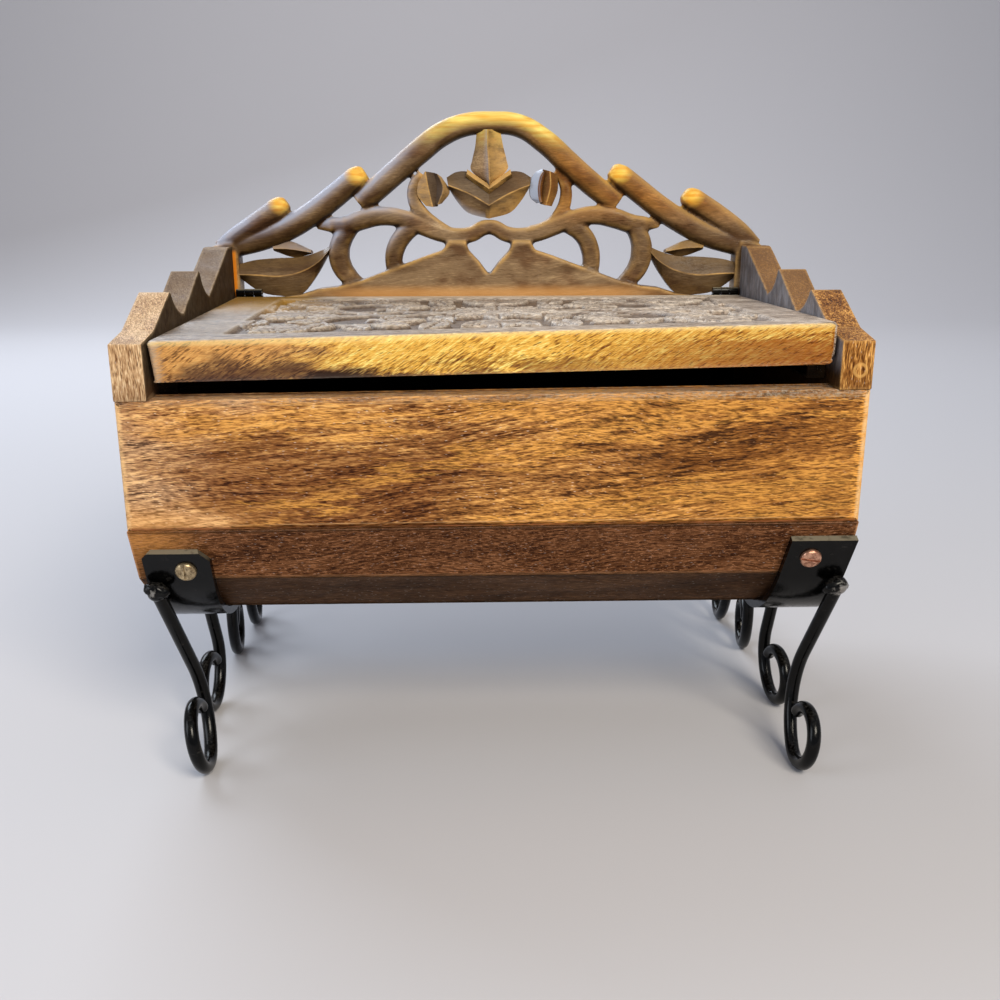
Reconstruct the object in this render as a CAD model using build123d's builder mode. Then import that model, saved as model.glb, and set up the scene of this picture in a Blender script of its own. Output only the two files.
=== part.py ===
"""Desk letter box: a carved wooden box with a hinged lid, on an iron scroll stand.

Millimetres. X runs to the viewer's right, Y to the back, Z up. The stand's scrolls rest on Z = 0.
"""
import os
from math import asin, atan2, cos, degrees, radians, sin, sqrt, tan

from build123d import *

os.makedirs("parts", exist_ok=True)

# ---- wooden box ----
box_width = 235.0  # over the ends of the front boards
box_depth = 143.0  # front panel's face to back panel's rear face
board = 10.0  # thickness of the front, back, belly and bottom boards
end_board = 10.2  # thickness of the two end panels
belly_height = 53.4  # flat bottom above the desk
upper_stave_width = 20.6
upper_stave_lean = 21.5  # degrees from upright
lower_stave_width = 24.4
lower_stave_lean = 47.5
front_panel_height = 42.6
board_end_round = 2.5  # eased corners at the boards' ends
nib_height = 16.1  # end panels above the front panel's top edge

# ---- lid ----
lid_thickness = 12.5
lid_gap = 6.9  # slot between the front panel and the lid
lid_front_setback = 2.5  # lid's front edge behind the front panel's face
lid_side_gap = 0.6
lid_corner_round = 3.0
cleat_size = 6.0
cleat_length = 92.0
cleat_front_inset = 4.0  # cleat's front end behind the front panel's inner face
seat_clearance = 0.25  # between the closed lid and its cleats

# ---- carving on the lid, one quarter of it repeated about the field's middle ----
carving_depth = 1.6  # ground of the sunk field below the border and the leaves
field_x = 2.5  # field's middle
field_y = -3.5
field_half_width = 89.0
field_half_depth = 54.0
leaf_boss = 3.0  # radius of the round boss that a spray of leaves grows from
scroll_x = 47.0  # middle of the scroll of leaves, from the field's middle
scroll_y = 22.0
scroll_wide = 17.0  # reach of the scroll's first leaf and of its last
scroll_tight = 7.5
scroll_leaf_length = 15.0
scroll_leaf_width = 8.4

# ---- hinges ----
leaf_thickness = 0.9
leaf_height = 10.0
leaf_gap = 0.4  # between the two closed leaves
hinge_length = 11.0
hinge_end_inset = 0.8  # hinge's outer end from the end panel
barrel_radius = 1.5
barrel_lift = 0.2  # barrel above the lid's top
pin_radius = 0.6
pin_clearance = 0.05
knuckle_gap = 0.25
hinge_screw_radius = 0.7
hinge_screw_head_radius = 1.25
hinge_screw_length = 6.5
screw_clearance = 0.05

# ---- iron straps ----
# The stand is bent and cut by hand, so its two sides differ. Insets in X run from the box's end.
strap_width = 21.6
strap_thickness = 2.6
strap_slack = 2.1  # strap below the flat bottom
right_strap_inset = 3.7  # strap's outer edge along its flat run
right_strap_lean = 7.0  # degrees that its arms lean outwards
right_strap_top = 5.2  # cut end below the upper stave's top edge
left_strap_inset = 3.5
left_strap_lean = 0.0
left_strap_top = 8.2
left_outer_snip = 2.6  # corners cut off the arms' ends
left_inner_snip = 4.0
strap_screw_drop = 7.1  # screw below the strap's cut end
right_screw_inset = 14.2
left_screw_inset = 16.9

# ---- iron legs ----
# Each leg is a rod that ends in a scroll. The ring is the scroll's radius to the rod's middle,
# the bend is the wider curve above it, and the foot is the scroll's lowest point.
rod_radius = 2.3
weld_gap = 0.35  # rod's side from the strap along the weld
weld_bead_radius = 3.2
leg_weld_drop = 22.0  # outer legs' top ends below the upper stave's top edge
foot_blend = 50.0  # degrees: where the bend passes into the scroll
foot_curl = 275.0  # degrees the scroll turns past that
right_weld_inset = 4.0
right_foot_inset = 3.0  # behind the front panel's face
right_foot_ring = 9.5
right_foot_bend = 28.0
left_weld_inset = 6.9
left_foot_inset = 5.8
left_foot_ring = 10.9
left_foot_bend = 24.0
rear_weld_inset = 6.0
rear_foot_inset = 4.0  # before the back panel's rear face
rear_foot_ring = 10.4
rear_foot_bend = 26.0
inner_weld_inset = 7.5
inner_front_inset = 51.5  # inner scrolls' feet behind the front panel's face
inner_rear_inset = 37.5  # and before the back panel's rear face
inner_ring = 9.5
inner_bend = 20.0
inner_setback = 6.5  # inner rods' welds nearer the middle than their feet

# ---- strap screws ----
strap_screw_head_radius = 3.5
strap_screw_head_height = 1.5
strap_screw_radius = 1.7
strap_screw_depth = 7.5  # in the wood
slot_width = 0.8
slot_depth = 0.6

# ---- panel nails ----
nail_radius = 0.7
nail_length = 22.0
nail_clearance = 0.03
nail_sink = 1.2  # heads punched below the surface and filled

# ---- derived section of the belly, front half mirrored at the rear ----
half_width = box_width / 2
half_depth = box_depth / 2
inner_x = half_width - end_board
inner_y = half_depth - board


def down(lean):
    """Unit step down a front board that leans in towards the middle."""
    return Vector(sin(radians(lean)), -cos(radians(lean)))


def inward(lean):
    """Unit step from that board's outer face to its inner face."""
    return Vector(cos(radians(lean)), sin(radians(lean)))


def mitre(corner, lean_a, lean_b):
    """Inner corner of the joint between two boards of one thickness."""
    a, b = inward(lean_a), inward(lean_b)
    return corner + (a + b) * (board / (1 + a.dot(b)))


upper_drop = upper_stave_width * cos(radians(upper_stave_lean))
lower_drop = lower_stave_width * cos(radians(lower_stave_lean))
outer_1 = Vector(-half_depth, belly_height + upper_drop + lower_drop)
outer_2 = outer_1 + down(upper_stave_lean) * upper_stave_width
outer_3 = outer_2 + down(lower_stave_lean) * lower_stave_width
inner_1 = mitre(outer_1, 0, upper_stave_lean)
inner_2 = mitre(outer_2, upper_stave_lean, lower_stave_lean)
inner_3 = mitre(outer_3, lower_stave_lean, 90)
front_top_z = outer_1.Y + front_panel_height
lid_bottom_z = front_top_z + lid_gap
lid_top_z = lid_bottom_z + lid_thickness


def rear(point):
    return Vector(-point.X, point.Y)


def yz(point):
    return (point.X, point.Y)


def ease_ends(part, middle):
    """Rounds a board's two outer end edges, nearest to the given point of its face."""
    ends = [part.edges().sort_by_distance((side * half_width, *middle))[0] for side in (-1, 1)]
    fillet(ends, radius=board_end_round)


# ---- front and belly boards ----
with BuildPart() as front_panel:
    with BuildSketch(Plane.YZ):
        with BuildLine():
            Polyline((-half_depth, front_top_z), (-inner_y, front_top_z), yz(inner_1), yz(outer_1), close=True)
        make_face()
    extrude(amount=half_width, both=True)
    ease_ends(front_panel, (-half_depth, (front_top_z + outer_1.Y) / 2))

with BuildPart() as front_upper_stave:
    with BuildSketch(Plane.YZ):
        with BuildLine():
            Polyline(yz(outer_1), yz(inner_1), yz(inner_2), yz(outer_2), close=True)
        make_face()
    extrude(amount=half_width, both=True)
    ease_ends(front_upper_stave, yz((outer_1 + outer_2) / 2))

with BuildPart() as front_lower_stave:
    with BuildSketch(Plane.YZ):
        with BuildLine():
            Polyline(yz(outer_2), yz(inner_2), yz(inner_3), yz(outer_3), close=True)
        make_face()
    extrude(amount=half_width, both=True)
    ease_ends(front_lower_stave, yz((outer_2 + outer_3) / 2))

with BuildPart() as bottom_board:
    with BuildSketch(Plane.YZ):
        with BuildLine():
            Polyline(yz(outer_3), yz(inner_3), yz(rear(inner_3)), yz(rear(outer_3)), close=True)
        make_face()
    extrude(amount=half_width, both=True)

with BuildPart() as rear_upper_stave:
    add(front_upper_stave.part.mirror(Plane.XZ))

with BuildPart() as rear_lower_stave:
    add(front_lower_stave.part.mirror(Plane.XZ))

# ---- end panels ----
# Each tooth: start of its front slope, its peak, and the foot of its hollow rear side,
# as Y and the height above the front nib's top.
nib_top_z = front_top_z + nib_height
teeth = [
    ((-57.5, 2.5), (-35.4, 13.3), (-20.7, 4.3)),
    ((-20.7, 4.3), (4.6, 17.8), (17.2, 7.3)),
]
last_slope_start = (17.2, 7.3)
last_slope_end = (53.5, 23.8)
tooth_round = 2.2


def end_panel(side):
    """One end panel, notched behind the front panel and toothed along its top."""
    with BuildPart() as panel:
        with BuildSketch(Plane.YZ):
            with BuildLine():
                Polyline(
                    (teeth[0][0][0], nib_top_z + teeth[0][0][1]),
                    (-half_depth, nib_top_z),
                    (-half_depth, front_top_z),
                    (-inner_y, front_top_z),
                    yz(inner_1),
                    yz(inner_2),
                    yz(inner_3),
                    yz(rear(inner_3)),
                    yz(rear(inner_2)),
                    yz(rear(inner_1)),
                    (inner_y, nib_top_z + last_slope_end[1]),
                    (last_slope_end[0], nib_top_z + last_slope_end[1]),
                    (last_slope_start[0], nib_top_z + last_slope_start[1]),
                )
                for (ya, za), (yb, zb), (yc, zc) in teeth:
                    hollow = ((yb + yc) / 2 - 1.2, nib_top_z + (zb + zc) / 2 - 1.8)
                    Line((ya, nib_top_z + za), (yb, nib_top_z + zb))
                    ThreePointArc((yb, nib_top_z + zb), hollow, (yc, nib_top_z + zc))
            face = make_face()
            peaks = [face.vertices().sort_by_distance((t[1][0], nib_top_z + t[1][1], 0))[0] for t in teeth]
            fillet(peaks, radius=tooth_round)
        extrude(amount=end_board)
    return panel.part.moved(Location((inner_x if side > 0 else -half_width, 0, 0)))


with BuildPart() as right_end_panel:
    add(end_panel(1))

with BuildPart() as left_end_panel:
    add(end_panel(-1))

# ---- back panel with its openwork arch ----
# The pattern is drawn on this half width, with heights above the lid's top.
drawn_half_width = 117.5
drawn_lid_top = 151.0


def fret(x, z):
    return (x * half_width / drawn_half_width, z - drawn_lid_top + lid_top_z)


outline = [
    (drawn_half_width, 172.0),
    (88.0, 191.2),
    (83.2, 186.4),
    (84.2, 182.6),
    (56.6, 203.6),
    (51.0, 198.0),
    (55.4, 191.6),
]
arch = [(55.4, 191.6), (45.8, 200.8), (31.7, 211.5), (16.5, 221.8), (0.0, 225.6)]
holes = [
    [(24.6, 202.6), (16.0, 211.2), (5.6, 214.2), (7.0, 202.4), (18.0, 199.4)],
    [(46.4, 187.8), (34.2, 195.6), (34.6, 187.2)],
    [(24.8, 186.4), (16.8, 191.8), (5.4, 183.8), (12.6, 179.2), (21.4, 181.8)],
    [(65.2, 184.0), (54.4, 190.6), (55.2, 184.6)],
    [(81.6, 174.2), (72.6, 179.8), (65.4, 175.2), (74.0, 171.6)],
    [(103.0, 170.2), (90.0, 172.6), (87.0, 167.4), (103.0, 164.6)],
    [(39.0, 178.4), (50.8, 175.6), (58.2, 166.4), (54.0, 158.0), (44.8, 161.2), (42.6, 170.4)],
    [(34.8, 165.0), (32.0, 172.8), (20.0, 170.6)],
    [(79.4, 153.6), (67.2, 162.6), (63.4, 156.6)],
]
heart = [(0.0, 176.6), (8.8, 170.2), (0.0, 159.6), (-8.8, 170.2)]
hole_round = 1.6
fret_floor_z = lid_bottom_z

with BuildPart() as back_panel:
    with BuildSketch(Plane.YZ):
        with BuildLine():
            Polyline(
                yz(rear(inner_1)),
                yz(rear(outer_1)),
                (half_depth, fret_floor_z),
                (inner_y, fret_floor_z),
                close=True,
            )
        make_face()
    extrude(amount=half_width, both=True)
    with BuildSketch(Plane.XZ.offset(-inner_y)):
        with BuildLine():
            side_edge = [fret(x, z) for x, z in outline]
            Polyline((0, fret_floor_z), (half_width, fret_floor_z), *side_edge)
            Spline([fret(x, z) for x, z in arch], tangents=[(-1, 0.8), (-1, 0)])
            Line(fret(*arch[-1]), (0, fret_floor_z))
        make_face()
        for hole in holes:
            with BuildLine():
                FilletPolyline(*[fret(x, z) for x, z in hole], radius=hole_round, close=True)
            make_face(mode=Mode.SUBTRACT)
        mirror(about=Plane.YZ)
        with BuildLine():
            FilletPolyline(*[fret(x, z) for x, z in heart], radius=1.0, close=True)
        make_face(mode=Mode.SUBTRACT)
    extrude(amount=-board)
    back_ends = [
        back_panel.edges().sort_by_distance((s * half_width, half_depth, outer_1.Y + 30))[0] for s in (-1, 1)
    ]
    fillet(back_ends, radius=board_end_round)

# ---- cleats that carry the closed lid ----
cleat_top_z = lid_bottom_z - seat_clearance


def cleat(side):
    with BuildPart() as strip:
        corner = (side * inner_x, -inner_y + cleat_front_inset, cleat_top_z)
        toward = (Align.MAX if side > 0 else Align.MIN, Align.MIN, Align.MAX)
        with Locations(corner):
            Box(cleat_size, cleat_length, cleat_size, align=toward)
        fillet(strip.edges().filter_by(Axis.Y).group_by(Axis.Z)[0], radius=0.8)
    return strip.part


with BuildPart() as right_lid_cleat:
    add(cleat(1))

with BuildPart() as left_lid_cleat:
    add(cleat(-1))

# ---- lid ----
lid_half = inner_x - lid_side_gap
lid_front_y = -half_depth + lid_front_setback
lid_back_y = inner_y - 2 * leaf_thickness - leaf_gap

with BuildPart() as lid:
    with Locations((0, lid_front_y, lid_bottom_z)):
        Box(
            2 * lid_half,
            lid_back_y - lid_front_y,
            lid_thickness,
            align=(Align.CENTER, Align.MIN, Align.MIN),
        )
    fillet(lid.edges().filter_by(Axis.Z).group_by(Axis.Y)[0], radius=lid_corner_round)

# ---- leaves of the lid's carving ----
# Sprays of one quarter: boss from the field's middle, then each leaf's direction in degrees,
# its length and its width.
sprays = [
    ((0.0, 0.0), [(0, 22, 9), (45, 21, 9), (90, 22, 9)]),
    ((0.0, 30.0), [(52, 21, 9), (90, 21, 9)]),
    ((20.0, 30.0), [(78, 21, 8.5)]),
    ((66.0, 34.0), [(15, 19, 9), (45, 23, 9.5), (75, 18, 9)]),
    ((68.0, 0.0), [(-38, 19, 9), (0, 19, 9), (38, 19, 9)]),
]
scroll_turns = [-55, -12, 30, 72, 112, 155]


def leaf_outline(base, direction, length, width):
    """One leaf's blade between two arcs, from its base to its tip, cut out of the open sketch."""
    along = Vector(cos(radians(direction)), sin(radians(direction)))
    across = Vector(-along.Y, along.X) * (width / 2)
    middle = base + along * (0.45 * length)
    tip = base + along * length
    with BuildLine() as blade:
        ThreePointArc(yz(base), yz(middle + across), yz(tip))
        ThreePointArc(yz(tip), yz(middle - across), yz(base))
    make_face(blade.edges(), mode=Mode.SUBTRACT)


def mirrored_leaves(base, direction, length, width):
    """The same leaf in all four quarters, once where two of them coincide."""
    placed = set()
    for flip_x in (1, -1):
        for flip_y in (1, -1):
            turn = radians(direction)
            turned = degrees(atan2(flip_y * sin(turn), flip_x * cos(turn)))
            place = (round(field_x + flip_x * base.X, 6), round(field_y + flip_y * base.Y, 6), round(turned, 6) % 360)
            if place not in placed:
                placed.add(place)
                leaf_outline(Vector(place[0], place[1]), place[2], length, width)


with lid:
    with BuildSketch(Plane.XY.offset(lid_top_z)):
        with Locations((field_x, field_y)):
            Rectangle(2 * field_half_width, 2 * field_half_depth)
        for boss, blades in sprays:
            bosses = {(field_x + a * boss[0], field_y + b * boss[1]) for a in (1, -1) for b in (1, -1)}
            with Locations(*bosses):
                Circle(leaf_boss, mode=Mode.SUBTRACT)
            for direction, length, width in blades:
                mirrored_leaves(Vector(*boss), direction, length, width)
        for index, turn in enumerate(scroll_turns):
            reach = scroll_wide + (scroll_tight - scroll_wide) * index / (len(scroll_turns) - 1)
            root = Vector(scroll_x + reach * cos(radians(turn)), scroll_y + reach * sin(radians(turn)))
            mirrored_leaves(root, turn + 42, scroll_leaf_length, scroll_leaf_width)
    extrude(amount=-carving_depth, mode=Mode.SUBTRACT)

# ---- hinges ----
axis_y = inner_y - barrel_radius - 0.1
axis_z = lid_top_z + barrel_lift + barrel_radius
leaf_top_z = lid_top_z
hinge_x = inner_x - hinge_end_inset - hinge_length / 2
knuckle = hinge_length / 3
bore_radius = pin_radius + pin_clearance
hinge_screw_z = lid_top_z - leaf_height / 2
hinge_screw_xs = [-hinge_length / 3, hinge_length / 3]


def barrel_piece(x, length):
    """Hinge knuckle on the pin's line, with its bore."""
    with Locations(Plane(origin=(x, axis_y, axis_z), z_dir=(1, 0, 0))):
        Cylinder(barrel_radius, length)


def leaf(middle_x, face_y, knuckles):
    """A flat leaf with its knuckles; the face_y side lies against the wood or stands free."""
    with BuildPart() as piece:
        with Locations((middle_x, face_y, leaf_top_z)):
            Box(hinge_length, leaf_thickness, leaf_height, align=(Align.CENTER, Align.MIN, Align.MAX))
        for x, length in knuckles:
            barrel_piece(middle_x + x, length)
            with Locations((middle_x + x, face_y, leaf_top_z)):
                Box(length, leaf_thickness, axis_z - leaf_top_z, align=(Align.CENTER, Align.MIN, Align.MIN))
        with Locations(Plane(origin=(middle_x, axis_y, axis_z), z_dir=(1, 0, 0))):
            Cylinder(bore_radius, hinge_length * 2, mode=Mode.SUBTRACT)
        for x in hinge_screw_xs:
            with Locations(Plane(origin=(middle_x + x, face_y, hinge_screw_z), z_dir=(0, 1, 0))):
                Cylinder(hinge_screw_head_radius + screw_clearance, 6 * leaf_thickness, mode=Mode.SUBTRACT)
    return piece.part


outer_knuckles = [(-knuckle, knuckle - knuckle_gap), (knuckle, knuckle - knuckle_gap)]
middle_knuckle = [(0, knuckle - knuckle_gap)]
fixed_leaf_y = inner_y - leaf_thickness
lid_leaf_y = lid_back_y

with BuildPart() as left_hinge_back_leaf:
    add(leaf(-hinge_x, fixed_leaf_y, outer_knuckles))

with BuildPart() as right_hinge_back_leaf:
    add(leaf(hinge_x, fixed_leaf_y, outer_knuckles))

with BuildPart() as left_hinge_lid_leaf:
    add(leaf(-hinge_x, lid_leaf_y, middle_knuckle))

with BuildPart() as right_hinge_lid_leaf:
    add(leaf(hinge_x, lid_leaf_y, middle_knuckle))


def hinge_pin(middle_x):
    with BuildPart() as pin:
        with Locations(Plane(origin=(middle_x, axis_y, axis_z), z_dir=(1, 0, 0))):
            Cylinder(pin_radius, hinge_length)
    return pin.part


with BuildPart() as left_hinge_pin:
    add(hinge_pin(-hinge_x))

with BuildPart() as right_hinge_pin:
    add(hinge_pin(hinge_x))


def hinge_screws(head_y, into):
    """Four small flat screws, heads flush in a leaf; into is +1 for the back panel, -1 for the lid."""
    with BuildPart() as screws:
        for middle_x in (-hinge_x, hinge_x):
            for x in hinge_screw_xs:
                start = Plane(origin=(middle_x + x, head_y, hinge_screw_z), z_dir=(0, into, 0))
                with Locations(start):
                    Cylinder(hinge_screw_head_radius, leaf_thickness, align=(Align.CENTER, Align.CENTER, Align.MIN))
                    Cylinder(hinge_screw_radius, hinge_screw_length, align=(Align.CENTER, Align.CENTER, Align.MIN))
                    Box(
                        2 * hinge_screw_head_radius,
                        0.5,
                        0.35,
                        align=(Align.CENTER, Align.CENTER, Align.MIN),
                        mode=Mode.SUBTRACT,
                    )
    return screws.part


with BuildPart() as hinge_screws_back:
    add(hinge_screws(fixed_leaf_y, 1))

with BuildPart() as hinge_screws_lid:
    add(hinge_screws(lid_leaf_y + leaf_thickness, -1))


def drill_hinge_holes(wood_y, into):
    """Pilot holes for one row of hinge screws, in the open part."""
    for middle_x in (-hinge_x, hinge_x):
        for x in hinge_screw_xs:
            with Locations(Plane(origin=(middle_x + x, wood_y, hinge_screw_z), z_dir=(0, into, 0))):
                Cylinder(
                    hinge_screw_radius + screw_clearance,
                    hinge_screw_length - leaf_thickness,
                    align=(Align.CENTER, Align.CENTER, Align.MIN),
                    mode=Mode.SUBTRACT,
                )


with back_panel:
    drill_hinge_holes(inner_y, 1)

with lid:
    drill_hinge_holes(lid_back_y, -1)

# ---- straps under the box ----
facet_down = down(upper_stave_lean)
facet_out = -inward(upper_stave_lean)
strap_bottom_z = belly_height - strap_slack
bend_angle = radians(90 - upper_stave_lean)
# The bend starts at the upper stave's lower edge and ends tangent to the flat bottom run.
corner_run = (outer_2.Y - strap_bottom_z) / cos(radians(upper_stave_lean))
strap_bend = corner_run / tan(bend_angle / 2)


def strap_line(out, top):
    """The strap's face at a distance out from the wood, front end, front corner, then mirrored."""
    start = outer_1 + facet_down * top + facet_out * out
    run = (start.Y - (strap_bottom_z - out)) / cos(radians(upper_stave_lean))
    corner = start + facet_down * run
    return [yz(start), yz(corner), yz(rear(corner)), yz(rear(start))]


def strap(side, inset, lean, top, outer_snip=0.0, inner_snip=0.0):
    """One bent strap, cut from a wide one along the outline that its front view shows."""
    top_z = (outer_1 + facet_down * top).Y
    low_z, high_z = strap_bottom_z - 2 * strap_thickness, top_z + strap_thickness

    def edge(x, z):
        return side * (x + (z - strap_bottom_z) * tan(radians(lean)))

    outer = half_width - inset
    inner = outer - strap_width
    with BuildPart() as bar:
        with BuildSketch(Plane.YZ):
            with BuildLine():
                FilletPolyline(*strap_line(0, top), radius=strap_bend)
                FilletPolyline(*strap_line(strap_thickness, top), radius=strap_bend + strap_thickness)
                Line(strap_line(0, top)[0], strap_line(strap_thickness, top)[0])
                Line(strap_line(0, top)[3], strap_line(strap_thickness, top)[3])
            make_face()
        extrude(amount=box_width, both=True)
        with BuildSketch(Plane.XZ):
            with BuildLine():
                Polyline(
                    (edge(outer, low_z), low_z),
                    (edge(outer, top_z - outer_snip), top_z - outer_snip),
                    (edge(outer - outer_snip - strap_thickness, high_z), high_z),
                    (edge(inner + inner_snip + strap_thickness, high_z), high_z),
                    (edge(inner, top_z - inner_snip), top_z - inner_snip),
                    (edge(inner, low_z), low_z),
                    close=True,
                )
            make_face()
        extrude(amount=box_depth, both=True, mode=Mode.INTERSECT)
    return bar.part


with BuildPart() as right_strap:
    add(strap(1, right_strap_inset, right_strap_lean, right_strap_top))

with BuildPart() as left_strap:
    add(strap(-1, left_strap_inset, left_strap_lean, left_strap_top, left_outer_snip, left_inner_snip))

# ---- strap screws ----
screw_places = {1: (right_screw_inset, right_strap_top), -1: (left_screw_inset, left_strap_top)}


def screw_plane(side, end):
    """Plane on the strap's outer face at one screw; its normal points out of the wood."""
    inset, top = screw_places[side]
    seat = outer_1 + facet_down * (top + strap_screw_drop) + facet_out * strap_thickness
    return Plane(
        origin=(side * (half_width - inset), end * seat.X, seat.Y),
        x_dir=(1, 0, 0),
        z_dir=(0, end * facet_out.X, facet_out.Y),
    )


def drill_strap_screws(depth, sides, ends):
    """Clearance holes for the strap screws, in the open part."""
    for side in sides:
        for end in ends:
            with Locations(screw_plane(side, end)):
                Cylinder(
                    strap_screw_radius + screw_clearance,
                    depth,
                    align=(Align.CENTER, Align.CENTER, Align.MAX),
                    mode=Mode.SUBTRACT,
                )


with BuildPart() as strap_screws:
    for side, end, slot_turn in ((1, 1, -10), (-1, 1, 86), (1, -1, 40), (-1, -1, -25)):
        with Locations(screw_plane(side, end)):
            Cylinder(
                strap_screw_radius,
                strap_thickness + strap_screw_depth,
                align=(Align.CENTER, Align.CENTER, Align.MAX),
            )
            Cylinder(
                strap_screw_head_radius,
                strap_screw_head_height,
                align=(Align.CENTER, Align.CENTER, Align.MIN),
            )
    heads = strap_screws.edges().filter_by(GeomType.CIRCLE)
    rims = heads.filter_by(lambda e: abs(e.radius - strap_screw_head_radius) < 0.01)
    heads_in = [(screw_plane(side, end), e) for e in rims for side in (1, -1) for end in (1, -1)]
    tops = [e for plane, e in heads_in if abs(plane.to_local_coords(e.arc_center).Z - strap_screw_head_height) < 0.01]
    fillet(tops, radius=0.7 * strap_screw_head_height)
    for side, end, slot_turn in ((1, 1, -10), (-1, 1, 86), (1, -1, 40), (-1, -1, -25)):
        with Locations(screw_plane(side, end) * Location((0, 0, strap_screw_head_height), (0, 0, slot_turn))):
            Box(
                3 * strap_screw_head_radius,
                slot_width,
                slot_depth,
                align=(Align.CENTER, Align.CENTER, Align.MAX),
                mode=Mode.SUBTRACT,
            )

hole_depth = strap_thickness + strap_screw_depth
with right_strap:
    drill_strap_screws(hole_depth, (1,), (1, -1))
with left_strap:
    drill_strap_screws(hole_depth, (-1,), (1, -1))
with front_upper_stave:
    drill_strap_screws(hole_depth, (1, -1), (1,))
with rear_upper_stave:
    drill_strap_screws(hole_depth, (1, -1), (-1,))

# ---- scroll legs ----
def leg_plane(side, weld, lean, toe):
    """Plane of one rod through its weld, leaned in and toed out; local x is forwards, y is up."""
    forward = Vector(side * sin(radians(toe)), -cos(radians(toe)), 0)
    flat = Vector(side * cos(radians(toe)), sin(radians(toe)), 0)
    up = Vector(0, 0, 1) * cos(radians(lean)) + flat * sin(radians(lean))
    foot = Vector(weld.X, weld.Y, 0)
    origin = foot + forward * weld.Y - flat * (weld.Z * tan(radians(lean)))
    return Plane(origin=origin, x_dir=forward, z_dir=forward.cross(up))


def scroll(plane, start, foot, lean, bend, ring):
    """One rod: a straight run from its weld, an open bend, and a scroll that stands on the desk.

    start is the rod's top and foot the scroll's lowest point, as forward and height.
    """
    sink = rod_radius / cos(radians(lean))
    ring_mid = Vector(foot, sink + ring)
    toward_bend = Vector(-cos(radians(foot_blend)), -sin(radians(foot_blend)))
    join = ring_mid + toward_bend * ring
    bend_mid = join - toward_bend * bend
    gap = bend_mid - start
    turn = atan2(gap.Y, gap.X) - asin(bend / gap.length)
    reach = sqrt(gap.length**2 - bend**2)
    bend_start = start + Vector(cos(turn), sin(turn)) * reach
    tip_angle = radians(180 + foot_blend + foot_curl)
    curl_mid = radians(180 + foot_blend + foot_curl / 2)
    start_angle = degrees(atan2(bend_start.Y - bend_mid.Y, bend_start.X - bend_mid.X)) % 360
    half_angle = radians((start_angle + 180 + foot_blend) / 2)
    with BuildPart() as rod:
        with BuildLine(plane) as path:
            Line(yz(start), yz(bend_start))
            ThreePointArc(
                yz(bend_start),
                yz(bend_mid + Vector(cos(half_angle), sin(half_angle)) * bend),
                yz(join),
            )
            ThreePointArc(
                yz(join),
                yz(ring_mid + Vector(cos(curl_mid), sin(curl_mid)) * ring),
                yz(ring_mid + Vector(cos(tip_angle), sin(tip_angle)) * ring),
            )
        with BuildSketch(Plane(origin=path.line @ 0, z_dir=path.line % 0)):
            Circle(rod_radius)
        sweep(path=path.line)
        with Locations(path.line @ 0):
            Sphere(weld_bead_radius)
        with Locations(path.line @ 1):
            Sphere(rod_radius)
    return rod.part


def strap_block():
    """Everything inside the straps' outer faces, for trimming the weld beads."""
    with BuildPart() as block:
        with BuildSketch(Plane.YZ):
            with BuildLine():
                FilletPolyline(*strap_line(strap_thickness, 0), radius=strap_bend + strap_thickness)
                Line(strap_line(strap_thickness, 0)[3], strap_line(strap_thickness, 0)[0])
            make_face()
        extrude(amount=box_width, both=True)
    return block.part


trim = strap_block()
outer_weld = outer_1 + facet_down * leg_weld_drop + facet_out * (strap_thickness + rod_radius + weld_gap)
inner_weld_z = strap_bottom_z - strap_thickness - rod_radius


def leg(side, end, weld_inset, weld_y, weld_z, foot_y, lean, toe, bend, ring):
    """One leg, drawn at the front; end is -1 for a leg at the rear."""
    plane = leg_plane(side, Vector(side * (half_width - weld_inset), -weld_y, weld_z), lean, toe)
    rod = scroll(plane, Vector(weld_y, weld_z / cos(radians(lean))), foot_y, lean, bend, ring) - trim
    return rod if end > 0 else rod.mirror(Plane.XZ)


def outer_leg(side, end, weld_inset, foot_inset, ring, bend, lean, toe):
    foot_y = half_depth - foot_inset
    return leg(side, end, weld_inset, -outer_weld.X, outer_weld.Y, foot_y, lean, toe, bend, ring)


def inner_leg(side, end, foot_inset, lean, toe):
    foot_y = half_depth - foot_inset
    weld_y = foot_y - inner_setback
    return leg(side, end, inner_weld_inset, weld_y, inner_weld_z, foot_y, lean, toe, inner_bend, inner_ring)


# The last two values are each rod's lean towards the middle and its foot's turn outwards, in degrees.
with BuildPart() as right_front_leg:
    add(outer_leg(1, 1, right_weld_inset, right_foot_inset, right_foot_ring, right_foot_bend, 8.0, 3.0))
with BuildPart() as left_front_leg:
    add(outer_leg(-1, 1, left_weld_inset, left_foot_inset, left_foot_ring, left_foot_bend, 10.0, -3.5))
with BuildPart() as right_rear_leg:
    add(outer_leg(1, -1, rear_weld_inset, rear_foot_inset, rear_foot_ring, rear_foot_bend, 3.0, 4.0))
with BuildPart() as left_rear_leg:
    add(outer_leg(-1, -1, rear_weld_inset, rear_foot_inset, rear_foot_ring, rear_foot_bend, 2.0, 6.0))
with BuildPart() as right_inner_front_scroll:
    add(inner_leg(1, 1, inner_front_inset, 1.0, 7.0))
with BuildPart() as left_inner_front_scroll:
    add(inner_leg(-1, 1, inner_front_inset, 3.0, 4.0))
with BuildPart() as right_inner_rear_scroll:
    add(inner_leg(1, -1, inner_rear_inset, 0.0, 7.0))
with BuildPart() as left_inner_rear_scroll:
    add(inner_leg(-1, -1, inner_rear_inset, 0.5, 7.0))

# ---- panel nails ----
nail_x = half_width - end_board / 2
lower_mid = (outer_2 + outer_3) / 2
lower_out = -inward(lower_stave_lean)


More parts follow.
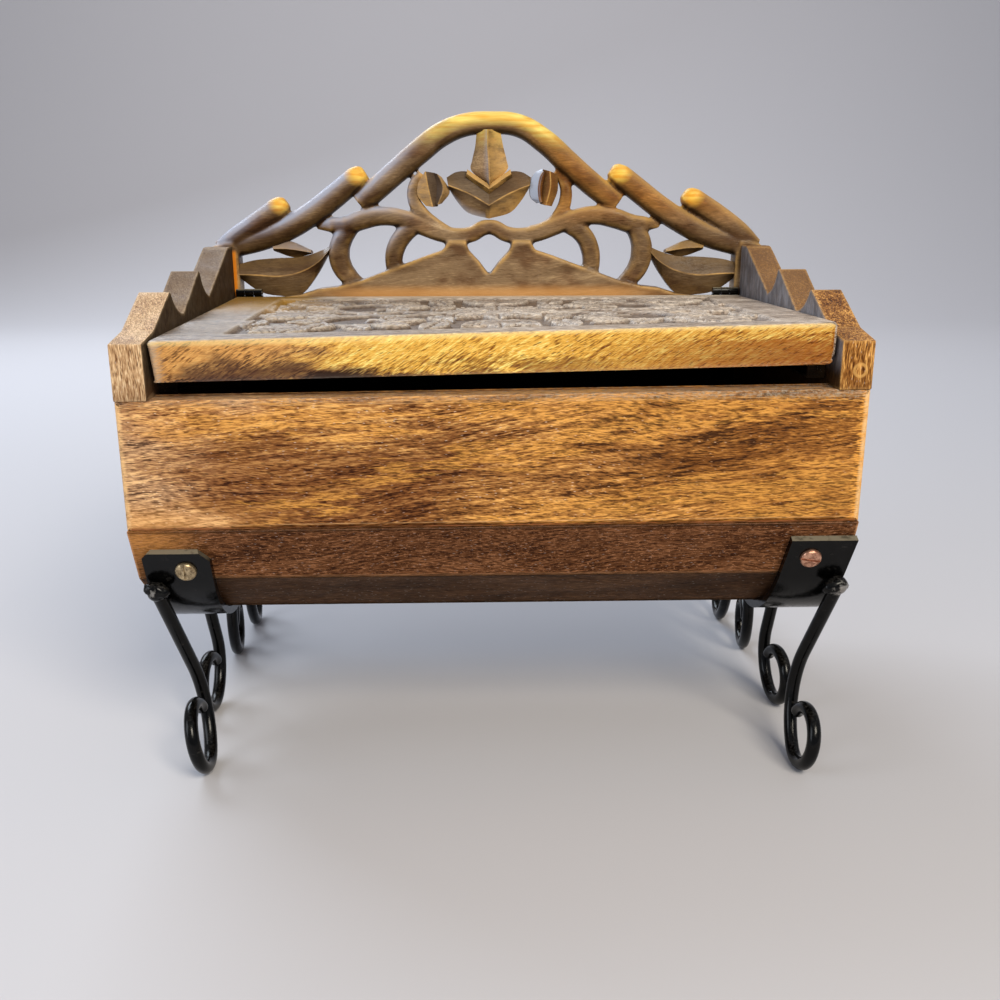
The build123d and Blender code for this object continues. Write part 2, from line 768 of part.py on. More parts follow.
def nail_planes():
    """Where each nail goes in: a plane on the wood's face, with its normal pointing out."""
    spots = []
    for side in (-1, 1):
        for end in (1, -1):
            for z in (outer_1.Y + 0.3 * front_panel_height, outer_1.Y + 0.75 * front_panel_height):
                spots.append((side * nail_x, end * -half_depth, z, (0, -end, 0)))
            spots.append((side * nail_x, end * lower_mid.X, lower_mid.Y, (0, end * lower_out.X, lower_out.Y)))
            spots.append((side * nail_x, end * outer_3.X * 0.6, belly_height, (0, 0, -1)))
    return [Plane(origin=(x, y, z), z_dir=out) for x, y, z, out in spots]


def nails(radius, sink, mode=Mode.ADD):
    for plane in nail_planes():
        with Locations(plane.offset(-sink)):
            Cylinder(radius, nail_length - sink, align=(Align.CENTER, Align.CENTER, Align.MAX), mode=mode)


with BuildPart() as panel_nails:
    nails(nail_radius, nail_sink)

for board_part in (
    front_panel,
    back_panel,
    front_lower_stave,
    rear_lower_stave,
    bottom_board,
    left_end_panel,
    right_end_panel,
):
    with board_part:
        nails(nail_radius + nail_clearance, 0, Mode.SUBTRACT)

# ---- write one STEP per node ----
nodes = {
    "front_panel": front_panel,
    "front_upper_stave": front_upper_stave,
    "front_lower_stave": front_lower_stave,
    "bottom_board": bottom_board,
    "rear_upper_stave": rear_upper_stave,
    "rear_lower_stave": rear_lower_stave,
    "left_end_panel": left_end_panel,
    "right_end_panel": right_end_panel,
    "back_panel": back_panel,
    "left_lid_cleat": left_lid_cleat,
    "right_lid_cleat": right_lid_cleat,
    "lid": lid,
    "left_hinge_back_leaf": left_hinge_back_leaf,
    "right_hinge_back_leaf": right_hinge_back_leaf,
    "left_hinge_lid_leaf": left_hinge_lid_leaf,
    "right_hinge_lid_leaf": right_hinge_lid_leaf,
    "left_hinge_pin": left_hinge_pin,
    "right_hinge_pin": right_hinge_pin,
    "hinge_screws_back": hinge_screws_back,
    "hinge_screws_lid": hinge_screws_lid,
    "left_strap": left_strap,
    "right_strap": right_strap,
    "strap_screws": strap_screws,
    "left_front_leg": left_front_leg,
    "right_front_leg": right_front_leg,
    "left_rear_leg": left_rear_leg,
    "right_rear_leg": right_rear_leg,
    "left_inner_front_scroll": left_inner_front_scroll,
    "right_inner_front_scroll": right_inner_front_scroll,
    "left_inner_rear_scroll": left_inner_rear_scroll,
    "right_inner_rear_scroll": right_inner_rear_scroll,
    "panel_nails": panel_nails,
}
for name, node in nodes.items():
    node.part.label = name
    export_step(node.part, f"parts/{name}.step")
    print(name, len(node.part.solids()), round(node.part.volume, 1), node.part.bounding_box())
print("lid hinge axis", axis_y, axis_z, "lid", lid_bottom_z, lid_top_z)
print("inner corners", inner_1, inner_2, inner_3)
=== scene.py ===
# %% [markdown]
# # A carved letter box on an iron scroll stand
#
# The real box is made from boards of one brown hardwood: an upright front, a belly
# of angled staves, two ends sawn into teeth, a carved lid and a pierced, carved
# back. It hangs in two iron straps that stand on eight scrolled rods. This lesson
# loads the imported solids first, because every piece made here has to sit exactly
# where they say.

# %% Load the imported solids
import math

import bmesh
import bpy
import numpy as np
from mathutils import Matrix, Vector


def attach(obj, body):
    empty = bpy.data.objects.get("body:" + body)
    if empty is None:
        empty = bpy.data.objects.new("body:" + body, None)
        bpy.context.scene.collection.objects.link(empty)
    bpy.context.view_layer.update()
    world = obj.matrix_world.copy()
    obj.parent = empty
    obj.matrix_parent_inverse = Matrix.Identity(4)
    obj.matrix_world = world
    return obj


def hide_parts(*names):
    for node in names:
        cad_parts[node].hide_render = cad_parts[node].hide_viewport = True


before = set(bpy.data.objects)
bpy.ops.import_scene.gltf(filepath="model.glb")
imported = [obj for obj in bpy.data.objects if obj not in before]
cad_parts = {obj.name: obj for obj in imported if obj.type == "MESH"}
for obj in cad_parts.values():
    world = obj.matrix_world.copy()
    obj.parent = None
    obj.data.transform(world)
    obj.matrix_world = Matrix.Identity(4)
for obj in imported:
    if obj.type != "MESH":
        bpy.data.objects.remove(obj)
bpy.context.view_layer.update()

print("solids loaded:", len(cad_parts))

# %% [markdown]
# ## Small tools for node trees
#
# A finish is a tree of shader nodes. Making and wiring nodes by hand takes three
# lines each, so here a node's output becomes a `Value` that can be added,
# multiplied and eased like a number, and each sum makes the node that it needs.

# %% Node helpers
MM = 0.001


def plug(socket, value):
    """Wires a value to a socket, or sets the socket to a plain number, direction or colour."""
    if isinstance(value, Value):
        value.tree.links.new(value.socket, socket)
    else:
        socket.default_value = value


def node(tree, kind, inputs=None, **settings):
    """Makes one node, sets it up and fills its inputs."""
    made = tree.nodes.new(kind)
    for name, value in settings.items():
        setattr(made, name, value)
    for socket, value in (inputs or {}).items():
        plug(made.inputs[socket], value)
    return made


def result(tree, kind, inputs=None, pick=0, **settings):
    """Makes one node and returns one of its outputs."""
    return Value(node(tree, kind, inputs, **settings).outputs[pick])


def parts(tree, kind, inputs=None, **settings):
    """Makes one node and returns all its outputs by name."""
    return {socket.name: Value(socket) for socket in node(tree, kind, inputs, **settings).outputs}


class Value:
    """A number, colour or direction that a node puts out."""

    def __init__(self, socket):
        self.socket = socket
        self.tree = socket.node.id_data

    def calc(self, operation, other=0.0):
        return result(self.tree, "ShaderNodeMath", {0: self, 1: other}, operation=operation)

    def __add__(self, other):
        return self.calc("ADD", other)

    def __sub__(self, other):
        return self.calc("SUBTRACT", other)

    def __mul__(self, other):
        return self.calc("MULTIPLY", other)

    def __abs__(self):
        return self.calc("ABSOLUTE")

    def ease(self, low, high, start=0.0, end=1.0, how="SMOOTHSTEP"):
        """Goes gently from start to end as the value goes from low to high."""
        inputs = {0: self, 1: low, 2: high, 3: start, 4: end}
        return result(self.tree, "ShaderNodeMapRange", inputs, interpolation_type=how)

    def vector(self, operation, other, pick=0):
        return result(self.tree, "ShaderNodeVectorMath", {0: self, 1: other}, pick, operation=operation)

    def split(self):
        return list(parts(self.tree, "ShaderNodeSeparateXYZ", {0: self}).values())

    def turned(self, degrees):
        """Turns a place about y."""
        inputs = {"Vector": self, "Rotation": (0, math.radians(degrees), 0)}
        return result(self.tree, "ShaderNodeMapping", inputs)

    def noise(self, x, y, z, detail=2.0, rough=0.5, pick="Fac"):
        """Cloudy noise over a place in millimetres, with about x, y and z clouds to the millimetre."""
        place = self.vector("MULTIPLY", (x, y, z))
        inputs = {"Vector": place, "Scale": 1.0, "Detail": detail, "Roughness": rough}
        return result(self.tree, "ShaderNodeTexNoise", inputs, pick)


def highest(masks):
    """The largest of several masks at each point."""
    best, *others = masks
    for other in others:
        best = best.calc("MAXIMUM", other)
    return best


def rgb(red, green, blue):
    """A screen colour, 0 to 255, as the linear colour that shaders use."""
    linear = [((c / 255 + 0.055) / 1.055) ** 2.4 if c > 10 else c / 3295 for c in (red, green, blue)]
    return (*linear, 1.0)


def mix(factor, a, b, how="MIX"):
    """Lays colour b over colour a; either may be a plain screen colour."""
    tree = next(v.tree for v in (factor, a, b) if isinstance(v, Value))
    a, b = (rgb(*c) if isinstance(c, tuple) else c for c in (a, b))
    return result(tree, "ShaderNodeMix", {0: factor, 6: a, 7: b}, 2, data_type="RGBA", blend_type=how)


def new_group(name, inputs, outputs):
    """An empty node group with named sockets; inputs are (name, kind, value)."""
    group = bpy.data.node_groups.new(name, "ShaderNodeTree")
    for label, kind, value in inputs:
        socket = group.interface.new_socket(label, in_out="INPUT", socket_type="NodeSocket" + kind)
        if value is not None:
            socket.default_value = value
    for label, kind in outputs:
        group.interface.new_socket(label, in_out="OUTPUT", socket_type="NodeSocket" + kind)
    return group, parts(group, "NodeGroupInput"), group.nodes.new("NodeGroupOutput").inputs


print("helpers ready")

# %% [markdown]
# ## Wood grain
#
# Every board shows the same things: broad light and dark figure, thin golden
# streaks, fine fibre, and short open pores that hold dark stain. All of them run
# along the log, so each is a noise squeezed across the grain and stretched along
# it. One node group holds the lot, and each board gives it its own three browns.
# The group works in millimetres with the grain along x.

# %% Grain group
grain_group, given, made = new_group(
    "long_grain",
    [
        ("Vector", "Vector", None),
        ("Dark", "Color", rgb(60, 34, 18)),
        ("Mid", "Color", rgb(110, 70, 40)),
        ("Light", "Color", rgb(180, 125, 65)),
        ("Figure", "Float", 1.0),
        ("Streaks", "Float", 1.0),
        ("Pores", "Float", 1.0),
        ("Fibre", "Float", 1.0),
        ("Glints", "Float", 0.5),
    ],
    [("Color", "Color"), ("Height", "Float"), ("Pore", "Float")],
)
sway = given["Vector"].noise(0.013, 0.03, 0.03, 1.0, pick="Color").vector("SUBTRACT", (0.5, 0.5, 0.5))
bent = sway.vector("MULTIPLY", (0.0, 12.0, 12.0)).vector("ADD", given["Vector"])
leaning = bent.turned(8)


def layer(vector, length, width, weight, detail, rough):
    """One noise with blotches length by width millimetres, centred on zero, times its weight."""
    fine = vector.noise(1 / length, 1 / width, 1 / width, detail, rough)
    return fine.ease(0.3, 0.7, -0.5, 0.5, how="LINEAR") * weight


def dashes(shift, size, along=0.26, across=1.5):
    """Short strokes along the grain, 1 in the middle of each."""
    at = bent.vector("MULTIPLY", (along, across, across)).vector("ADD", (shift, shift, shift))
    cells = {"Vector": at, "Scale": 1.0}
    gap = result(grain_group, "ShaderNodeTexVoronoi", cells, "Distance", feature="F1")
    return gap.ease(size, size * 0.4)


figure = layer(leaning, 60.0, 11.0, given["Figure"], 3.0, 0.55)
streak = layer(leaning, 20.0, 1.0, given["Streaks"], 3.0, 0.6)
fibre = layer(bent, 3.0, 0.4, given["Fibre"], 2.0, 0.6)
tone = figure + streak + (fibre + 0.5)
low = mix(tone.ease(-0.15, 0.5), given["Dark"], given["Mid"])
tint = mix(tone.ease(0.45, 1.1), low, given["Light"])
pore = dashes(0.0, 0.30) * given["Pores"]
tint = mix(pore * 0.8, tint, mix(0.5, given["Dark"], (16, 8, 4)))
glint = dashes(31.7, 0.17, 0.3, 1.2) * given["Glints"]
tint = mix(glint, tint, mix(0.6, given["Light"], (240, 232, 226)))
plug(made["Color"], tint)
plug(made["Height"], fibre - pore * 0.8)
plug(made["Pore"], pore)
print("grain group has", len(grain_group.nodes), "nodes")

# %% [markdown]
# ## Worn edges and painted highlights
#
# Handling rubs the stain off the arrises first, so the bare, lighter wood shows
# there in a broken line. The pieces made below carry a wear value on their points,
# 1 on an arris and 0 on a flat face; on the carved lid and back the same value
# also marks the ridges and lips that get a painted highlight. The group breaks
# that value up with noise so that no edge is worn evenly.

# %% Wear and highlight group
wear_highlight_group, given, made = new_group(
    "edge_wear_and_highlight",
    [("Vector", "Vector", None), ("Amount", "Float", 0.5)],
    [("Mask", "Float")],
)
ridge = result(wear_highlight_group, "ShaderNodeAttribute", pick="Fac", attribute_name="wear")
patchy = given["Vector"].noise(0.12, 0.3, 0.3, 4.0, 0.65).ease(0.30, 0.62, 0.15, 1.0)
plug(made["Mask"], ridge * patchy * given["Amount"])
print("wear group ready")

# %% [markdown]
# ## Dust
#
# Pale lint settles on whatever faces up and is never wiped. A second small group
# turns the piece's own upward direction and a fine speckle into a dust mask.

# %% Dust group
dust_group, given, made = new_group(
    "settled_dust",
    [("Vector", "Vector", None), ("Normal", "Vector", None), ("Amount", "Float", 0.3)],
    [("Mask", "Float")],
)
upward = given["Normal"].split()[2]
speck = given["Vector"].noise(1.1, 1.1, 1.1, 5.0, 0.75)
cloud = given["Vector"].noise(0.06, 0.06, 0.06)
dusty = upward.ease(0.35, 0.9) * speck.ease(0.42, 0.66) * cloud.ease(0.3, 0.7, 0.3, 1.0)
plug(made["Mask"], dusty * given["Amount"])
print("dust group ready")

# %% [markdown]
# ## Coats of colour
#
# Stain, wax and dirt lie on a surface in coats, and each coat is a colour and a
# mask that says where it holds; some coats here paint light and shade in as colour.
# A `Coat` starts a material, knows where each point is in millimetres and which way
# it faces, and lays one colour over the last.
# The Principled shader stays in the material, and only values reach it.

# %% Coats
class Coat:
    """A material in the making: x, y, z place a point, and nx, ny, nz say which way it faces."""

    def __init__(self, name):
        self.material = bpy.data.materials.new(name)
        self.material.use_nodes = True
        self.tree = self.material.node_tree
        self.shader = self.tree.nodes["Principled BSDF"].inputs
        spot = parts(self.tree, "ShaderNodeTexCoord")
        self.place, self.normal = spot["Object"], spot["Normal"]
        self.here = self.laid((0, 0, 0), (0, 0, 0))
        self.x, self.y, self.z = self.here.split()
        self.nx, self.ny, self.nz = self.normal.split()

    def laid(self, shift, turn):
        """The point's place in millimetres, turned by degrees and then shifted."""
        turn = [math.radians(t) for t in turn]
        inputs = {"Vector": self.place, "Location": shift, "Rotation": turn, "Scale": (1 / MM,) * 3}
        return result(self.tree, "ShaderNodeMapping", inputs)

    def mark(self, name):
        """A value that the mesh carries on its points."""
        return result(self.tree, "ShaderNodeAttribute", pick="Fac", attribute_name=name)

    def masked(self, group, amount, **extra):
        """The mask that one of the shared groups makes here."""
        inputs = {"Vector": self.here, "Amount": amount, **extra}
        return result(self.tree, "ShaderNodeGroup", inputs, "Mask", node_tree=group)

    def dust(self, amount):
        return self.masked(dust_group, amount, Normal=self.normal)

    def lay(self, mask, color, how="MIX"):
        self.color = mix(mask, self.color, color, how)

    def finish(self, rough, height, strength, depth):
        """Hands colour, roughness and small bumps to the shader; depth is in millimetres."""
        plug(self.shader["Base Color"], self.color)
        plug(self.shader["Roughness"], rough)
        bumps = {"Height": height, "Strength": strength, "Distance": depth * MM}
        plug(self.shader["Normal"], result(self.tree, "ShaderNodeBump", bumps))
        return self.material


print("coats ready")

# %% [markdown]
# ## Waxed wood
#
# A board's finish starts with the grain, then its own stains and painted light and
# shade, then worn edges, which on the carvings also carry a painted highlight, and
# dust, under a thin coat of wax. The stains are a function, so a board can ask for
# a charred patch or a sun-bleached end.

# %% Wood finish
def grain_of(vector, dark, mid, light, figure, streaks, pores, fibre, glints):
    """The shared grain in three screen colours."""
    inputs = {
        "Vector": vector, "Dark": rgb(*dark), "Mid": rgb(*mid), "Light": rgb(*light), "Figure": figure,
        "Streaks": streaks, "Pores": pores, "Fibre": fibre, "Glints": glints,
    }
    return parts(vector.tree, "ShaderNodeGroup", inputs, node_tree=grain_group)


def wood(
    name, dark, mid, light, turn=(0, 0, 0), shift=(0, 0, 0), figure=0.8, streaks=0.8, pores=0.8,
    fibre=1.0, glints=0.4, gloss=0.35, wear=0.5, worn_and_lit=(190, 150, 105), dust=0.15, rough=(0.42, 0.6),
    bump=0.5, stains_and_light=None,
):
    """A waxed board; turn lays the grain the board's way and shift picks another part of the log."""
    coat = Coat(name)
    grain = grain_of(coat.laid(shift, turn), dark, mid, light, figure, streaks, pores, fibre, glints)
    coat.color = grain["Color"]
    # the board's own stains, and the light and shade painted into its colour
    if stains_and_light:
        stains_and_light(coat, grain)
    # worn edges; on the carved lid and back the same mask paints a highlight on ridges and lips
    coat.lay(coat.masked(wear_highlight_group, wear), worn_and_lit)
    lint = coat.dust(dust)
    coat.lay(lint, (198, 190, 180))
    plug(coat.shader["Specular IOR Level"], coat.nz.ease(0.1, 0.8, 0.1, gloss))
    sheen = coat.here.noise(0.05, 0.12, 0.12, 3.0).ease(0.3, 0.7, *rough)
    return coat.finish(sheen + lint * 0.3 + grain["Pore"] * 0.15, grain["Height"], bump, 0.35)


print("wood finish ready")

# %% [markdown]
# ## Cutting and softening a board
#
# A real board is sawn to a section and planed along its length. Here its section
# is one face in (y, z), extruded along x. A bevel takes off every sharp arris, and
# an inset just inside each broad face gives the wear value room to fade.

# %% Board helpers
def only(kind, geometry):
    """The points (BMVert) or edges (BMEdge) among what a mesh tool made."""
    return [g for g in geometry if isinstance(g, kind)]


def extrude(bm, points, step):
    """A solid from a flat outline and the step that it is drawn out by."""
    face = bm.faces.new([bm.verts.new(point) for point in points])
    run = bmesh.ops.extrude_face_region(bm, geom=[face])["geom"]
    bmesh.ops.translate(bm, verts=only(bmesh.types.BMVert, run), vec=step)


def cut_board(section, x_from, x_to):
    """A board in millimetres with the given (y, z) section."""
    bm = bmesh.new()
    extrude(bm, [(x_from, y, z) for y, z in section], (x_to - x_from, 0, 0))
    bmesh.ops.recalc_face_normals(bm, faces=bm.faces[:])
    return bm


def round_edges(bm, edges, width, segments=3):
    bmesh.ops.bevel(
        bm, geom=edges, offset=width, segments=segments, affect="EDGES", profile=0.5, material=-1,
        clamp_overlap=True,
    )


def soften(bm, width=0.5, rim=1.3, angle=25, least=30.0):
    """Rounds every sharp arris and marks where the edges take the most handling."""
    sharp = [e for e in bm.edges if len(e.link_faces) == 2 and e.calc_face_angle() > math.radians(angle)]
    round_edges(bm, sharp, width, 2)
    wear = bm.verts.layers.float.new("wear")
    for vert in bm.verts:
        vert[wear] = 1.0
    broad = [f for f in bm.faces if f.calc_area() > least]
    bmesh.ops.inset_individual(bm, faces=broad, thickness=rim, use_even_offset=True)
    for vert in {v for f in broad for v in f.verts}:
        vert[wear] = 0.0


def point_values(data, name, width=1, kind=float):
    """What every point or edge of a mesh holds, as rows of numbers."""
    values = np.zeros(len(data) * width, kind)
    data.foreach_get(name, values)
    return values.reshape(-1, width) if width > 1 else values


def add_mark(mesh, name, values):
    """Stores one value on each point of a mesh for the finish to read."""
    mesh.attributes.new(name, "FLOAT", "POINT").data.foreach_set("value", values)


def finish_piece(name, bm, material, body, replaced=(), angle=30):
    """Turns millimetres into metres and hands the piece to its body."""
    bmesh.ops.remove_doubles(bm, verts=bm.verts[:], dist=0.001)
    bmesh.ops.recalc_face_normals(bm, faces=bm.faces[:])
    bmesh.ops.scale(bm, verts=bm.verts[:], vec=(MM, MM, MM))
    mesh = bpy.data.meshes.new(name)
    bm.to_mesh(mesh)
    bm.free()
    piece = bpy.data.objects.new(name, mesh)
    bpy.context.scene.collection.objects.link(piece)
    mesh.materials.append(material)
    mesh.shade_smooth()
    mesh.set_sharp_from_angle(angle=math.radians(angle))
    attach(piece, body)
    if replaced:
        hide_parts(*replaced)
    spots = point_values(mesh.vertices, "co", 3) / MM
    print(name, "faces", len(mesh.polygons), "mm", spots.min(0).round(1), spots.max(0).round(1))
    return piece


print("board helpers ready")

# %% [markdown]
# ## The section of the belly
#
# The box's cross-section is an upright front, two angled staves and a flat
# bottom, and the back mirrors it. These are the mitred corners of the boards, in
# millimetres, with the outer corners first. The front panel was fitted by hand
# and its edges rise slightly to the right, so a small tilt is shared by the
# pieces that meet there.

# %% Corners of the section
half_length = 117.5
end_inner = 107.3
outer = [(-71.5, 89.051), (-63.950, 69.884), (-45.961, 53.4)]
inner = [(-61.5, 90.950), (-55.492, 75.698), (-42.072, 63.4)]
front_y, seam_z = outer[0]
front_top = 131.651
seam_rise = 0.6 / half_length  # of the panel's lower edge, per millimetre of x
top_rise = 1.25 / half_length


def back_of(corner):
    """The same corner on the rear half."""
    return -corner[0], corner[1]


def hand_tilt(x, z):
    """How far the front panel's edges run out of level, in millimetres."""
    top = -0.35 + top_rise * x
    low = -0.25 + seam_rise * x
    share = min(max((z - seam_z) / (front_top - seam_z), 0.0), 1.0)
    return low + (top - low) * share


print("section corners", outer, inner)

# %% [markdown]
# ## Front panel
#
# The panel is the show side: mid brown with golden ribbons that climb to the
# right, paler sapwood at its left end, and a warm lamp's light painted as an
# orange glow on its right corner. The masks below are frayed by noise and by the
# grain itself, as stain is in wood.

# %% Front panel
def joint_line(coat, level, height):
    """A fine broken pale line at a height along a joint's edge, bared by handling and with a painted
    highlight.
    """
    broken = coat.here.noise(0.12, 0.5, 0.5, 4.0, 0.7)
    return abs(level - height).ease(0.45, 0.2) * broken.ease(0.4, 0.6, 0.2, 0.85)


def front_stains_and_light(coat, grain):
    x, z = coat.x, coat.z
    ragged = x + coat.here.noise(0.03, 0.05, 0.09, 3.0).ease(0.25, 0.75, -26.0, 26.0)
    frayed = z + coat.here.noise(0.035, 0.2, 0.33, 4.0, 0.65).ease(0.25, 0.75, -7.0, 7.0)

    def ribbon(level, rise, half, x_from, x_to):
        """A band that climbs to the right, between two ends that fade over 18 millimetres."""
        inside = ragged.ease(x_from, x_from + 18) * ragged.ease(x_to, x_to - 18)
        return inside * abs(frayed - (x * rise + level)).ease(half, half * 0.3)

    coat.lay(ragged.ease(-40.0, 60.0, 0.0, 0.45), (190, 128, 54), "COLOR")
    coat.lay(ragged.ease(20.0, 90.0, 0.0, 0.85), (200, 185, 160), "MULTIPLY")
    # the dark left half and one dark ribbon on the right
    dim = ragged.ease(-106.0, -78.0) * ragged.ease(30.0, -20.0) * frayed.ease(124.0, 112.0)
    dim = highest((dim, ribbon(106.0, 0.09, 6.0, 10.0, 120.0) * 0.6))
    coat.lay(dim * 0.72, (146, 116, 108), "MULTIPLY")
    gold = highest([
        ribbon(112.0, 0.214, 4.2, -76.0, 86.0), ribbon(88.5, 0.14, 5.0, 8.0, 140.0),
        ribbon(127.0, 0.06, 5.5, -100.0, 70.0), ribbon(86.0, 0.10, 4.0, 56.0, 140.0),
        ribbon(121.0, 0.07, 3.5, 60.0, 140.0),
    ])
    strands = grain["Height"].ease(-0.35, 0.3, 0.25, 1.0)
    coat.lay(gold * (strands * 0.62), (238, 170, 80))
    # the pale left end
    pale = ragged.ease(-66.0, -114.0, 0.0, 0.75)
    coat.lay(pale, (224, 190, 150), "SOFT_LIGHT")
    coat.lay(pale * 0.8, (206, 174, 138), "COLOR")
    # painted warm light glowing on the right corner, kept off the end grain, and the lower left corner
    tip = x + grain["Height"].ease(-0.5, 0.5, -1.5, 1.5)
    coat.lay(tip.ease(113.5, 116.5, 0.0, 0.8) * abs(coat.nx).ease(0.97, 0.8), (250, 176, 80))
    coat.lay(x.ease(-60.0, -112.0) * z.ease(100.0, 90.0) * 0.5, (226, 160, 84))
    # the joint below, bared by handling and with a painted highlight, and dust caught along the top edge
    coat.lay(joint_line(coat, z - x * seam_rise, seam_z + 0.3), (226, 160, 104))
    fuzz = coat.here.noise(0.9, 0.9, 1.4, 4.0, 0.75)
    rim = z.ease(front_top - 3.0, front_top) * fuzz.ease(0.46, 0.64)
    coat.lay(rim * x.ease(-110.0, 110.0, 0.15, 0.8), (172, 160, 142))


def round_ends(bm, side, width):
    """Rounds the board's two outer corners on its front (side -1) or rear (side 1) face."""
    far_x, far_y = half_length - 0.5, -front_y - 0.5
    ends = [e for e in bm.edges if all(abs(v.co.x) > far_x and side * v.co.y > far_y for v in e.verts)]
    round_edges(bm, ends, width)


front_wood = wood(
    "front_wood", (78, 40, 14), (172, 116, 62), (242, 186, 110), shift=(40, 0, 7), figure=0.45, streaks=1.0,
    pores=0.9, fibre=1.1, glints=0.9, wear=0.95, worn_and_lit=(240, 194, 136), dust=0.5, stains_and_light=front_stains_and_light,
)
front_section = [(front_y, front_top), (inner[0][0], front_top), inner[0], outer[0]]
bm = cut_board(front_section, -half_length, half_length)
round_ends(bm, side=-1, width=1.4)
soften(bm, width=0.25, rim=0.8)
for vert in bm.verts:
    vert.co.z += hand_tilt(vert.co.x, vert.co.z)
finish_piece("front_board", bm, front_wood, "box", ["front_panel"])

# %% [markdown]
# ## Belly staves and bottom
#
# The staves are darker and redder than the panel, with small open pores. Their
# joints stay visible as fine lines because each board's arrises were eased before
# the glue-up, so each is its own piece here.

# %% Staves and bottom board
def speckled(coat, grain):
    """Fine pale specks, where polish has dried in the pores, and a golden left end."""
    end = coat.x.ease(-90.0, -114.0) * coat.z.ease(74.0, 84.0, 0.3, 1.0)
    coat.lay(end * grain["Height"].ease(-0.5, 0.3, 0.5, 0.9), (196, 134, 70))
    dots = coat.here.noise(0.9, 2.2, 2.2, 3.0, 0.75)
    coat.lay(dots.ease(0.56, 0.68, 0.0, 0.75), (188, 134, 96))
    # the joint's edge, bared by handling and with a painted highlight
    coat.lay(joint_line(coat, coat.z, outer[1][1] + 0.35), (196, 146, 104))


stave_wood = wood(
    "stave_wood", (50, 22, 5), (94, 56, 29), (144, 96, 62), turn=(0, 3, 0), shift=(0, 60, 20), figure=0.6,
    streaks=0.6, pores=0.9, fibre=1.3, wear=0.95, worn_and_lit=(196, 144, 100), dust=0.1, rough=(0.55, 0.75),
    stains_and_light=speckled,
)
low_stave_wood = wood(
    "low_stave_wood", (44, 26, 12), (72, 48, 30), (104, 74, 50), shift=(90, 30, 0), figure=0.6, streaks=0.5,
    pores=0.4, wear=0.9, worn_and_lit=(176, 132, 94), dust=0.1, rough=(0.55, 0.75),
)
upper_section = [outer[0], inner[0], inner[1], outer[1]]
lower_section = [outer[1], inner[1], inner[2], outer[2]]
belly = [
    ("front_upper_stave", upper_section, stave_wood),
    ("front_lower_stave", lower_section, low_stave_wood),
    ("bottom_board", [outer[2], inner[2], back_of(inner[2]), back_of(outer[2])], low_stave_wood),
    ("rear_lower_stave", [back_of(c) for c in lower_section], low_stave_wood),
    ("rear_upper_stave", [back_of(c) for c in upper_section], stave_wood),
]
for name, section, finish in belly:
    bm = cut_board(section, -half_length, half_length)
    soften(bm, width=0.25, rim=0.6)
    if name == "front_upper_stave":
        for vert in bm.verts:
            if vert.co.z > seam_z - 4:
                vert.co.z += hand_tilt(vert.co.x, seam_z)
    finish_piece(name + "_wood", bm, finish, "box", [name])

# %% [markdown]
# ## The two toothed ends
#
# Each end is one board with its grain upright, sawn along the top into a low nib
# and rising teeth. Every tooth has a straight front slope and a hollow rear side,
# so the section is a list of corners with a short curve drawn between a peak and
# the next valley. The ends stand on the belly's inner faces, behind the front
# panel, with the nib above it.

# %% End panels
nib_top = 147.751
nib = [(front_y, 0.0), (-57.5, 2.5)]
teeth = [((-35.4, 13.3), (-20.7, 4.3)), ((4.6, 17.8), (17.2, 7.3))]  # a peak and the foot behind it
last_peak = (53.5, 23.8)


def hollow_side(peak, foot, steps=6):
    """Points of the scooped rear side of a tooth."""
    pull = (peak[0] + foot[0]) / 2 - 2.4, (peak[1] + foot[1]) / 2 - 3.6
    curve = []
    for t in (step / steps for step in range(steps + 1)):
        weights = ((1 - t) ** 2, 2 * t * (1 - t), t * t)
        curve.append(tuple(sum(w * c for w, c in zip(weights, line)) for line in zip(peak, pull, foot)))
    return curve


top_line = nib + hollow_side(*teeth[0]) + hollow_side(*teeth[1]) + [last_peak, (-inner[0][0], last_peak[1])]
end_section = [(inner[0][0], front_top), (front_y, front_top)] + [(y, nib_top + z) for y, z in top_line]
end_section += [back_of(c) for c in inner] + inner[::-1]


def end_stains_and_light(inward, shade, outside, slope, hole=None):
    """Paints an end panel's inner face in light and shade, near-black low down inside the box, and colours
    its outer side and the slopes of its rear teeth.
    """

    def stain_and_light(coat, grain):
        coat.lay(coat.y.ease(-40.0, -14.0) * coat.nz.ease(0.2, 0.5, 0.15, 0.75), slope)
        # painted light and shade on the inner face, made uneven by a noise
        lightening = coat.here.noise(0.3, 0.3, 0.12, 4.0, 0.65).ease(0.35, 0.7)
        side = mix(lightening, shade, tuple(round(c * 1.4) for c in shade))
        # painted shade: the inner face goes near-black low down, inside the box
        side = mix(coat.z.ease(142.0, 136.0), side, (18, 12, 8))
        coat.lay((coat.nx * inward).ease(0.4, 0.9, 0.0, 0.9), side)
        coat.lay(coat.z.ease(140.0, 128.0, 0.0, 0.5), outside)
        if hole:  # a ring round a filled nail hole in the nib
            front = coat.ny.ease(-0.6, -0.95) * coat.z.ease(131.0, 132.5)
            ring = abs(coat.here.vector("DISTANCE", hole, "Value") - 1.9).ease(0.7, 0.2)
            coat.lay(ring * (front * 0.6), (222, 170, 96))

    return stain_and_light


